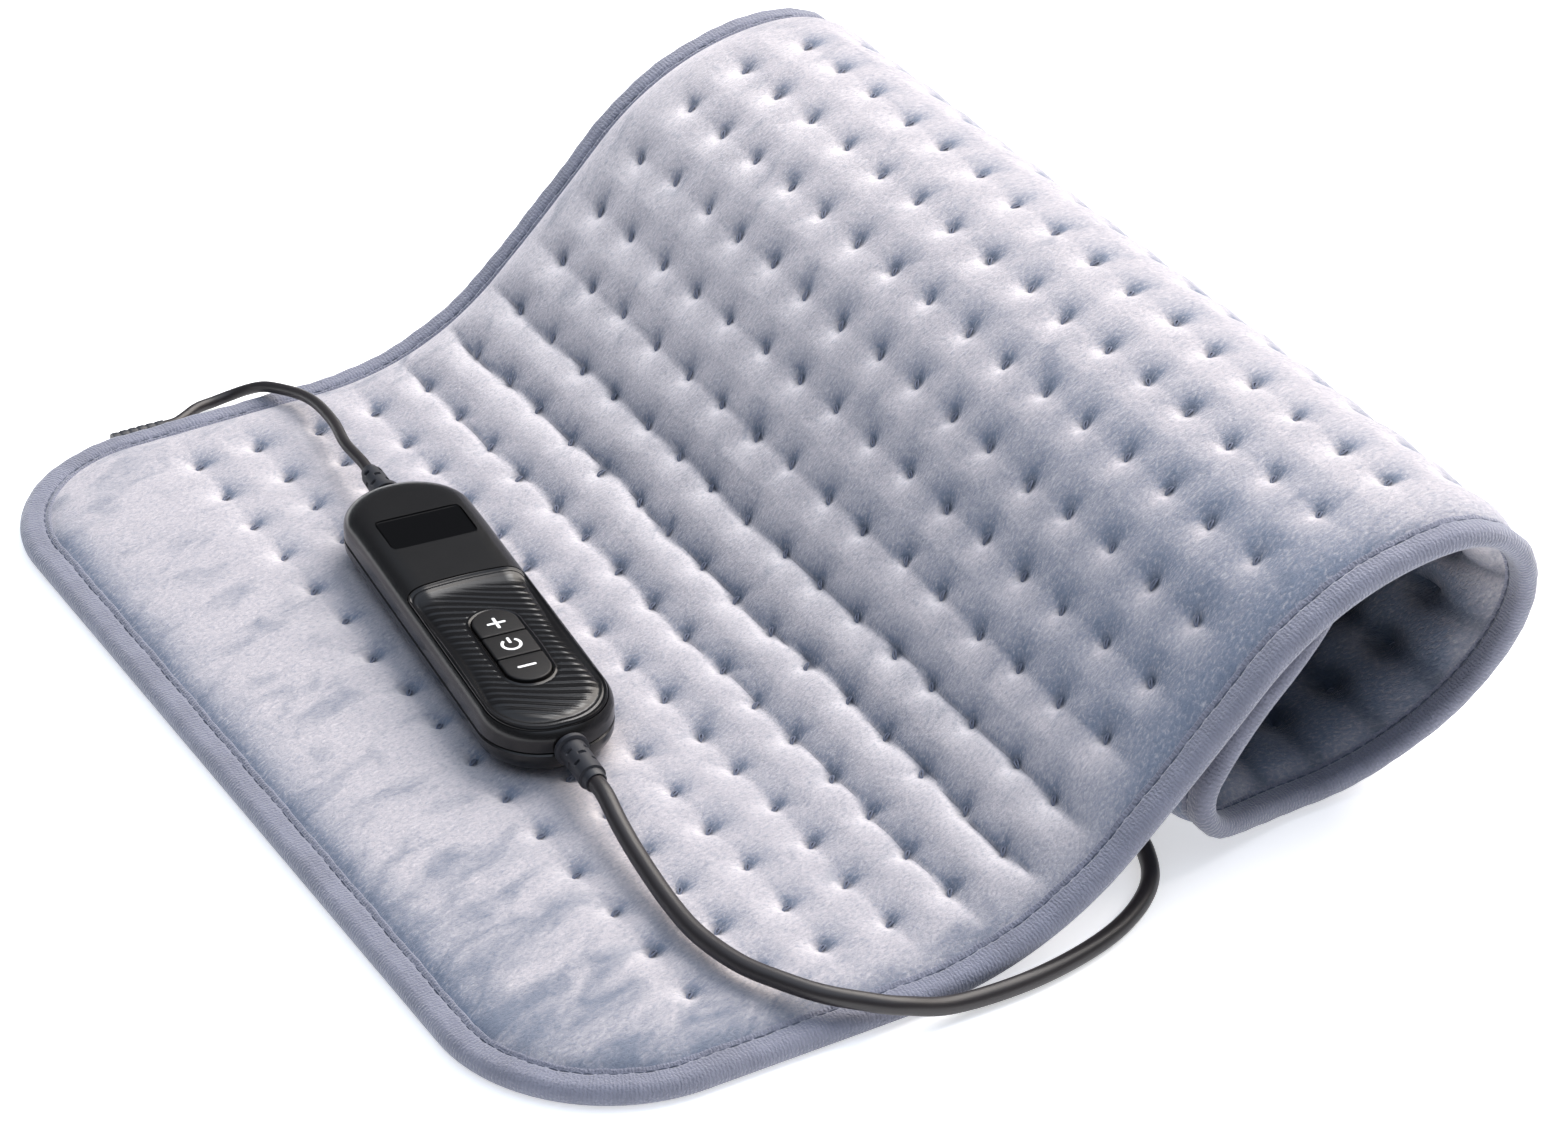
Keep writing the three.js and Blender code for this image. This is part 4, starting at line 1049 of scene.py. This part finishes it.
def mains_line():
    """Middle line of the mains lead: down from the controller, under the pad's bend and into its coil."""
    route = [
        on_controller_axis(-MAINS_RELIEF_REACH + 1.0),
        on_controller_axis(-MAINS_RELIEF_REACH - 5.0),
        (62.6, 76, 14),
        (61.2, 64, 12.4),
        (59.9, 49, 11.3),
        (59.7, 36, 11.1),
        (62.2, 23, 11.1),
        (66.8, 13.5, 11),
        (72.3, 6, 10.4),
        (79, 1, 9.2),
        (87, -2.6, 7.2),
        (100, -3.6, 3.4),
        (121, -3.2, 2.4),
        (142, 1.4, 2.3),
        (157, 10, 2.3),
        (165, 21, 2.3),
        (168, 36, 2.3),
        (168, 80, 2.3),
        (168, 140, 2.3),
        (168, 200, 2.3),
        (168, 260, 2.3),
        (168, 300, 2.3),
        (169, 318, 2.4),
        (174, 331, 2.5),
        (186, 340, 2.7),
        (202, 344, 2.9),
        (214, 350, COIL_FLOOR),
    ]
    coil = coil_line()
    lead = spline([*route, coil[0] - 6.0 * coil_heading(math.radians(COIL_START)), coil[0]], 10)
    return in_frame(np.concatenate([lead[:-1], coil]))


def pad_lead_line():
    """Middle line of the thin lead from the controller round to the pad's back corner."""
    route = [
        on_controller_axis(PAD_RELIEF_REACH - 1.0),
        on_controller_axis(PAD_RELIEF_REACH + 5.0),
        (81, 251, 15.2),
        (83.6, 263, 14.2),
        (84.8, 275, 13),
        (84.4, 284, 11.4),
        (82.8, 292, 9.4),
        (80.6, 298.4, 7.6),
        (78, 303, 5.2),
        (74.5, 306, 3),
        (70, 306.8, 2),
        (65, 306, 2),
        (60, 303.4, 1.9),
        (GLAND_FROM + 3.0, GLAND_ACROSS, GLAND_HEIGHT),
        (GLAND_FROM - 0.5, GLAND_ACROSS, GLAND_HEIGHT),
    ]
    return in_frame(spline(route, 10))


def plug_place(points):
    """Places on the plug in metres: it lies in line with the coil's outer end, along +Y of its own frame."""
    end = coil_line()[-2:]
    heading = unit(end[1] - end[0])
    aside = np.array([heading[1], -heading[0], 0.0])
    return in_frame(end[1] + points @ np.array([aside, heading, UP]))


def plug_body_mesh():
    """Superellipse rings that widen towards the pins, rounded at both ends."""
    t = np.linspace(0.0, 1.0, 48)[:, None]
    across, up = np.cos(ring_angles(64)), np.sin(ring_angles(64))
    wide = 6.2 + 7.1 * smoothstep(t, 0.1, 0.82)
    thick = 6.9 + 0.4 * smoothstep(t, 0.1, 0.8)
    ends = (1.0 - np.abs(2 * t - 1.0) ** 14) ** 0.5 * 0.3 + 0.7
    x = np.sign(across) * np.abs(across) ** 0.6 * wide * ends
    z = np.sign(up) * np.abs(up) ** 0.6 * thick * ends
    return ring_mesh(plug_place(points_of(x, PLUG_RELIEF + 0.3 + PLUG_LENGTH * t, z)))


def plug_relief_mesh():
    """A tapered sleeve with five cut rings, each a cosine to the sixth power."""
    along = np.linspace(0.0, PLUG_RELIEF + 0.6, 90)[:, None]
    ringed = (along < 17.5) * (along > 1.0)
    grooves = 0.7 * (0.5 + 0.5 * np.cos(2 * np.pi * along / 3.4)) ** 6 * ringed
    radius = 2.8 + 1.8 * smoothstep(along, 0.0, 17.0) - grooves
    return ring_mesh(plug_place(turned_rings(along, radius, 40)))


def pin_meshes(profile):
    """The same turned profile, of distance along and radius, at both pins' places."""
    along, radius = np.transpose(profile)[..., None]
    rings = turned_rings(PLUG_RELIEF + PLUG_LENGTH + along, radius, 28)
    places = ([-PIN_ASIDE, 0.0, 0.0], [PIN_ASIDE, 0.0, 0.0])
    return join_meshes([ring_mesh(plug_place(rings + place)) for place in places])


def tie_mesh():
    """A flat strap carried round the coil's turns."""
    across = (COIL_TURNS - 0.5) * COIL_PITCH + 5.1
    high = COIL_PITCH + 5.1
    half = rounded_half(across + 0.9, high + 0.9, 2.0)
    outline, inward = closed_outline(half, 96, (0.0, -high / 2 - 0.45))
    section = np.array([(0.0, -2.8), (0.12, -3.0), (0.45, -3.0), (0.45, 3.0), (0.12, 3.0), (0.0, 2.8)])
    flat = outline[:, None, :] + section[:, :1] * inward[:, None, :]
    angle = math.radians(COIL_START - 90.0)
    radial = np.array([math.cos(angle), math.sin(angle), 0.0])
    around = np.cross(UP, radial)
    middle = np.array([*COIL_CENTRE, COIL_FLOOR + COIL_PITCH / 2])
    middle = middle + radial * (COIL_INNER + COIL_TURNS * COIL_PITCH / 2)
    points = middle + points_of(flat[..., 0], section[:, 1], flat[..., 1]) @ np.array([radial, around, UP])
    return build_mesh(in_frame(points), grid_quads(len(outline), len(section), wrap=True, close=True))


def gland_mesh():
    """A sleeve with cosine grooves where the thin lead goes into the bound edge."""
    along = np.linspace(0.0, GLAND_FROM - GLAND_TO, 60)[:, None]
    grooves = 0.2 * (0.5 + 0.5 * np.cos(2 * np.pi * along / 2.4)) ** 4 * (along > 0.8)
    rings = turned_rings(along, 1.7 + 0.15 * smoothstep(along, 0.0, 7.0) - grooves, 36)
    points = points_of(GLAND_FROM - rings[..., 1], GLAND_ACROSS + rings[..., 0], GLAND_HEIGHT + rings[..., 2])
    return ring_mesh(in_frame(points))


# Settings


def size_property(name, description, millimetres):
    return FloatProperty(name=name, description=description, default=millimetres * MM, unit="LENGTH")


def colour_property(name, description, hex_colour):
    colour = linear(hex_colour)
    return FloatVectorProperty(
        name=name, description=description, default=colour, subtype="COLOR", min=0.0, max=1.0
    )


class HeatingPadSizes(PropertyGroup):
    """Sizes of the quilting, the controller's ribs and the cords."""

    tuft_depth: size_property("Tuft depth", "How far a tuft pulls the plush in", 3.4)
    pleat_height: size_property("Pleat height", "Height of the pleats between rows in the hollow bend", 1.9)
    thread: size_property("Thread", "Diameter of the tufting thread", 0.42)
    stitch: size_property("Stitch", "Diameter of the edge's sewing thread", 0.45)
    rib_spacing: size_property("Rib spacing", "Distance between the panel's ribs along it", 2.6)
    rib_height: size_property("Rib height", "Height of the panel's ribs", 0.11)
    mains_diameter: size_property("Mains lead", "Diameter of the mains lead", 4.2)
    pad_lead_diameter: size_property("Pad lead", "Diameter of the lead to the pad", 2.9)


class HeatingPadColours(PropertyGroup):
    """Colours of the pad and its controller."""

    plush: colour_property("Plush", "Pile as it is combed", "#b3afb4")
    # The light and dark plush colours paint light and shade on the plush as well as its uneven tone
    plush_light: colour_property("Plush, light", "Pale tips of the pile", "#ddd7d8")
    plush_dark: colour_property("Plush, dark", "Depth of the pile", "#546881")
    plush_sheen: colour_property("Plush sheen", "Light caught by the tips of the pile", "#f3f0f8")
    tape: colour_property("Edge tape", "Knitted tape round the edge", "#868897")
    thread: colour_property("Thread", "Tufting and sewing thread", "#6a7082")
    casing: colour_property("Casing", "Controller's two shells", "#131110")
    gloss: colour_property("Gloss black", "Ribbed panel and display", "#0e0c0c")
    keys: colour_property("Keys", "Key tops", "#110f0f")
    print_white: colour_property("Print", "Signs on the keys", "#f4f4f4")
    cord: colour_property("Cords", "Sheath of both cords", "#221d1e")
    sleeve: colour_property("Sleeves", "Strain reliefs, plug and tie", "#24252b")


# Operators


class HEATINGPAD_OT_plush_covers(Operator):
    """Builds the quilted top cover and the underside, each with its tufting threads"""

    bl_idname = "heating_pad.plush_covers"
    bl_label = "Plush covers"

    def execute(self, context):
        sizes, colours = context.scene.heating_pad_sizes, context.scene.heating_pad_colours
        # Crystal velvet, the same cloth on both faces
        plush = crystal_velvet(colours.plush, colours.plush_light, colours.plush_dark, colours.plush_sheen)
        # Spun polyester thread, dull with a fine twist
        thread = moulded("polyester thread", colours.thread, 0.7, grain=0.3, depth=0.1)
        pile = cover_mesh(top_heights, TOP_UNDER, 1.05, sizes)
        top = add_piece("plush_top", pile, plush, replaces=["top_cover"])
        pile = cover_mesh(bottom_heights, BOTTOM_TOP, 2.1, sizes)
        under = add_piece("plush_underside", pile, plush, replaces=["bottom_cover"])
        # Only the rows that are clear of the table
        tufts = (
            ("top_tufts", TOP_SEED, top_heights, 1.0, slice(0, 17)),
            ("underside_tufts", UNDER_SEED, bottom_heights, -1.0, slice(7, TUFT_ROWS)),
        )
        for name, seed, heights, side, rows in tufts:
            lines, ups = tuft_threads(seed, heights, sizes, side, rows)
            add_piece(name, tube_mesh(lines, ups, sizes.thread, 5), thread)
        return {"FINISHED"}


class HEATINGPAD_OT_edge_binding(Operator):
    """Builds the knitted tape round the pad's edge and its stitching"""

    bl_idname = "heating_pad.edge_binding"
    bl_label = "Edge binding"

    def execute(self, context):
        sizes, colours = context.scene.heating_pad_sizes, context.scene.heating_pad_colours
        # Brushed knitted tape, soft and without gloss
        tape = knitted_tape(colours.tape)
        # Sewing thread, darker than the tape, and darkened further as painted shade of the groove it lies in
        thread = moulded("sewing thread", [0.7 * v for v in colours.thread], 0.75, grain=0.3, depth=0.1)
        add_piece("edge_tape", edge_binding_mesh(), tape, replaces=["edge_binding"])
        for name, height, rise in (("edge_stitches_top", 4.4, 0.35), ("edge_stitches_under", 0.75, -0.35)):
            lines, ups = stitches(height, rise)
            add_piece(name, tube_mesh(lines, ups, sizes.stitch, 5), thread)
        return {"FINISHED"}


class HEATINGPAD_OT_inner_parts(Operator):
    """Gives the heater, the circuit board, its parts, the switches and the screws their materials"""

    bl_idname = "heating_pad.inner_parts"
    bl_label = "Inner parts"

    def execute(self, context):
        keys = ("plus", "power", "minus")
        finishes = {
            # Needled polyester felt, matt and fibrous
            moulded("needled felt", linear("#e4e0d6"), 0.95, grain=0.8, depth=0.4): ["heater_carrier"],
            # Silicone insulation and a glass fuse body, with a dull shine
            moulded("silicone insulation", linear("#d6d2c6"), 0.55): ["heating_wire", "board_fuse"],
            # Glass-fibre laminate with green lacquer
            moulded("green laminate", linear("#2c6839"), 0.45, grain=0.5): ["circuit_board"],
            # Black epoxy packages with a fine matt skin
            moulded("black epoxy", linear("#18181b"), 0.5, grain=0.3): [
                "thermal_cutout",
                "display_module",
                "control_chip",
                "triac",
                *(f"{key}_switch" for key in keys),
            ],
            # Amber resin and film
            moulded("amber resin", linear("#b5873a"), 0.45): [
                "temperature_sensor",
                "dropper_capacitor",
                *(f"{key}_switch_stem" for key in keys),
            ],
            # Zinc-plated steel and an aluminium can, bright but not polished
            plated("zinc-plated steel", linear("#b7bac0"), 0.35): [
                "smoothing_capacitor",
                *(f"casing_screw_{k}" for k in (1, 2, 3, 4)),
            ],
        }
        for material, names in finishes.items():
            for name in names:
                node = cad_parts[name]
                node.data.materials.clear()
                node.data.materials.append(material)
        return {"FINISHED"}


class HEATINGPAD_OT_casing(Operator):
    """Builds the controller's upper and lower shells"""

    bl_idname = "heating_pad.casing"
    bl_label = "Casing"

    def execute(self, context):
        colours = context.scene.heating_pad_colours
        # Moulded ABS with a satin, lightly spark-eroded skin
        shell = moulded("satin ABS", colours.casing, 0.24, grain=0.3, depth=0.01, specular=0.5)
        upper = add_piece(
            "upper_shell", upper_casing_mesh(), shell, replaces=["upper_casing"], sharp=35.0
        )
        above = 20.0  # clear of the casing's top
        pocket = bar(WINDOW_WIDTH + 0.5, WINDOW_LENGTH + 0.5, WINDOW_CENTRE, 1.2)
        cut(
            upper,
            prism(panel_outline(320, shrink=-0.25), 10.3, above),
            prism(key_opening(160), 8.0, above),
            prism(pocket, 12.3, above),
        )
        add_piece("lower_shell", lower_casing_mesh(), shell, replaces=["lower_casing"], sharp=35.0)
        return {"FINISHED"}


class HEATINGPAD_OT_control_panel(Operator):
    """Builds the ribbed gloss panel and the display's window"""

    bl_idname = "heating_pad.control_panel"
    bl_label = "Control panel and display"

    def execute(self, context):
        sizes, colours = context.scene.heating_pad_sizes, context.scene.heating_pad_colours
        # Polished ABS, whose ribs catch thin lines of light
        gloss = moulded("polished ABS", colours.gloss, 0.2, specular=0.3)
        # Smoked acrylic, dark while the display is off
        acrylic = moulded("smoked acrylic", [0.4 * v for v in colours.gloss], 0.05, specular=0.25)
        add_piece("ribbed_panel", control_panel_mesh(sizes), gloss, replaces=["control_panel"])
        pane = display_mesh()
        add_piece("display_pane", pane, acrylic, replaces=["display_window"], sharp=15.0)
        return {"FINISHED"}


class HEATINGPAD_OT_keys(Operator):
    """Builds the three keys with their printed signs, each riding on its own body"""

    bl_idname = "heating_pad.keys"
    bl_label = "Keys"

    def execute(self, context):
        colours = context.scene.heating_pad_colours
        # Moulded keys with a fine grain
        top = moulded("grained key ABS", colours.keys, 0.45, grain=0.3, specular=0.25)
        # Screen-printed white ink, a thin raised film
        ink = moulded("white ink", colours.print_white, 0.45)
        for key, (outline, inward) in key_forms().items():
            body = f"{key}_key_body"
            add_piece(f"{key}_cap", key_mesh(outline, inward), top, body, [f"{key}_key"])
            strokes = [prism(points, 13.45, 13.54) for points in sign_outlines(key)]
            add_piece(f"{key}_sign", join_meshes(strokes), ink, body)
        return {"FINISHED"}


class HEATINGPAD_OT_strain_reliefs(Operator):
    """Builds the two sleeves at the controller's ends and the sleeve at the pad's edge"""

    bl_idname = "heating_pad.strain_reliefs"
    bl_label = "Strain reliefs"

    def execute(self, context):
        colours = context.scene.heating_pad_colours
        # Soft PVC, duller than the casing
        soft = moulded("soft PVC", colours.sleeve, 0.5, grain=0.4, depth=0.03)
        mains = relief_mesh(-1, MAINS_RELIEF_REACH, 3.15, 3.25)
        add_piece("mains_sleeve", mains, soft, replaces=["mains_strain_relief"])
        pad = relief_mesh(1, PAD_RELIEF_REACH, 2.9, 2.75)
        add_piece("pad_sleeve", pad, soft, replaces=["pad_strain_relief"])
        add_piece("gland_sleeve", gland_mesh(), soft, replaces=["pad_gland"])
        return {"FINISHED"}


class HEATINGPAD_OT_cords(Operator):
    """Lays the mains lead with its coil and plug, and the lead to the pad"""

    bl_idname = "heating_pad.cords"
    bl_label = "Cords"

    def execute(self, context):
        sizes, colours = context.scene.heating_pad_sizes, context.scene.heating_pad_colours
        # Extruded PVC sheath, with a soft line of light along it
        sheath = moulded("PVC sheath", colours.cord, 0.42, grain=0.4)
        # Moulded PVC of the plug and tie
        vinyl = moulded("moulded PVC", colours.sleeve, 0.5, grain=0.4, depth=0.03)
        # Nickel-plated brass, a warm bright metal
        nickel = plated("nickel-plated brass", linear("#cfc5ac"), 0.25)
        plug = add_piece("plug_moulding", plug_body_mesh(), vinyl, replaces=["plug_body"])
        sleeve = add_piece(
            "plug_sleeve", plug_relief_mesh(), vinyl, replaces=["plug_strain_relief"]
        )
        metal = pin_meshes([(-1.0, 1.95), (17.6, 1.95), (18.6, 1.6), (19.0, 1.0), (19.0, 0.6)])
        pins = add_piece("plug_pins", metal, nickel, replaces=["plug_pin_left", "plug_pin_right"])
        sheathing = pin_meshes([(-0.8, 2.05), (9.6, 2.05), (10.0, 1.9), (10.0, 1.7)])
        sleeves = add_piece("pin_sleeves", sheathing, vinyl)
        tie = add_piece("coil_strap", tie_mesh(), vinyl, replaces=["coil_tie"])
        sides = 18
        line = mains_line()
        tube = tube_mesh(line[None], UP, sizes.mains_diameter, sides)
        mains = add_piece("mains_cord", tube, sheath, replaces=["mains_lead", "mains_coil"])
        line = pad_lead_line()
        tube = tube_mesh(line[None], UP, sizes.pad_lead_diameter, sides)
        lead = add_piece("pad_cord", tube, sheath, replaces=["pad_lead"])
        return {"FINISHED"}


def aim(thing, direction):
    """Turns a light or a camera to look in a direction, and puts it into the scene."""
    thing.rotation_euler = Vector(direction).to_track_quat("-Z", "Y").to_euler()
    bpy.context.scene.collection.objects.link(thing)


def area_light(name, place, size, power, colour=(1.0, 1.0, 1.0)):
    """A round light that looks at the middle of the pad. Its place and size are in metres."""
    data = bpy.data.lights.new(name, "AREA")
    data.shape = "DISK"
    data.size = size
    data.energy = power
    data.color = colour
    light = bpy.data.objects.new(name, data)
    light.location = place
    aim(light, Vector((0.0, 0.0, 0.02)) - Vector(place))


class HEATINGPAD_OT_stage(Operator):
    """Sets the white table, the light and the camera"""

    bl_idname = "heating_pad.stage"
    bl_label = "Stage"

    def execute(self, context):
        scene = context.scene
        white = rgba(linear("#fbfbfb"))
        # White paper sweep, which glows a little, so that shadows on it stay faint
        paper, _, _ = new_material(
            "white paper",
            Base_Color=white,
            Roughness=0.9,
            Specular_IOR_Level=0.1,
            Emission_Color=white,
            Emission_Strength=0.52,
        )
        # A sheet 24 m wide, a little below the pad
        corners = np.array([(-1, -1), (1, -1), (1, 1), (-1, 1)]) * 12.0
        sheet = build_mesh(points_of(corners[:, 0], corners[:, 1], -0.4 * MM), [[0, 1, 2, 3]])
        sheet.materials.append(paper)
        table = show("table", sheet)

        world = bpy.data.worlds.new("studio")
        world.use_nodes = True
        tree = world.node_tree
        # A bright ceiling over dim walls
        direction = add_node(tree, "TexCoord", out="Generated")
        up = add_node(tree, "SeparateXYZ", {"Vector": direction}, out="Z")
        fall = {"Value": up, "From Min": 0.58, "From Max": 0.9, "To Min": 0.15, "To Max": 1.45}
        strength = add_node(tree, "MapRange", fall, out="Result")
        sky = tree.nodes["Background"].inputs
        tree.links.new(strength, sky["Strength"])
        sky["Color"].default_value = (0.85, 0.96, 1.13, 1.0)
        scene.world = world
        area_light("side softbox", (1.0, 0.22, 1.1), 1.6, 43.0, (1.0, 0.93, 0.86))
        area_light("overhead card", (0.45, 0.61, 0.905), 0.25, 1.2)

        camera_data = bpy.data.cameras.new("camera")
        camera_data.sensor_fit = "HORIZONTAL"
        camera_data.sensor_width = 36.0
        camera_data.lens = 111.39
        camera_data.clip_end = 50.0
        camera = bpy.data.objects.new("camera", camera_data)
        camera.location = in_frame(np.array([-339.2, -681.4, 624.7]))
        aim(camera, (0.4249, 0.7293, -0.5364))
        scene.camera = camera
        scene.view_settings.view_transform = "Standard"
        return {"FINISHED"}


class HEATINGPAD_PT_panel(Panel):
    """Sizes, colours and the pieces in the order they are built"""

    bl_idname = "HEATINGPAD_PT_panel"
    bl_label = "Heating pad"
    bl_space_type = "VIEW_3D"
    bl_region_type = "UI"
    bl_category = "Heating pad"

    def draw(self, context):
        for group in (context.scene.heating_pad_sizes, context.scene.heating_pad_colours):
            column = self.layout.column()
            for name in group.__annotations__:
                column.prop(group, name)
        for step in STEPS:
            self.layout.operator(step.bl_idname)


STEPS = (
    HEATINGPAD_OT_cords,
    HEATINGPAD_OT_plush_covers,
    HEATINGPAD_OT_edge_binding,
    HEATINGPAD_OT_inner_parts,
    HEATINGPAD_OT_casing,
    HEATINGPAD_OT_control_panel,
    HEATINGPAD_OT_keys,
    HEATINGPAD_OT_strain_reliefs,
    HEATINGPAD_OT_stage,
)
CLASSES = (HeatingPadSizes, HeatingPadColours, *STEPS, HEATINGPAD_PT_panel)


def register():
    for cls in CLASSES:
        bpy.utils.register_class(cls)
    bpy.types.Scene.heating_pad_sizes = PointerProperty(type=HeatingPadSizes)
    bpy.types.Scene.heating_pad_colours = PointerProperty(type=HeatingPadColours)


def unregister():
    del bpy.types.Scene.heating_pad_colours
    del bpy.types.Scene.heating_pad_sizes
    for cls in reversed(CLASSES):
        bpy.utils.unregister_class(cls)


def main():
    register()
    for step in STEPS:
        group, name = step.bl_idname.split(".")
        getattr(getattr(bpy.ops, group), name)()


if __name__ == "__main__":
    main()
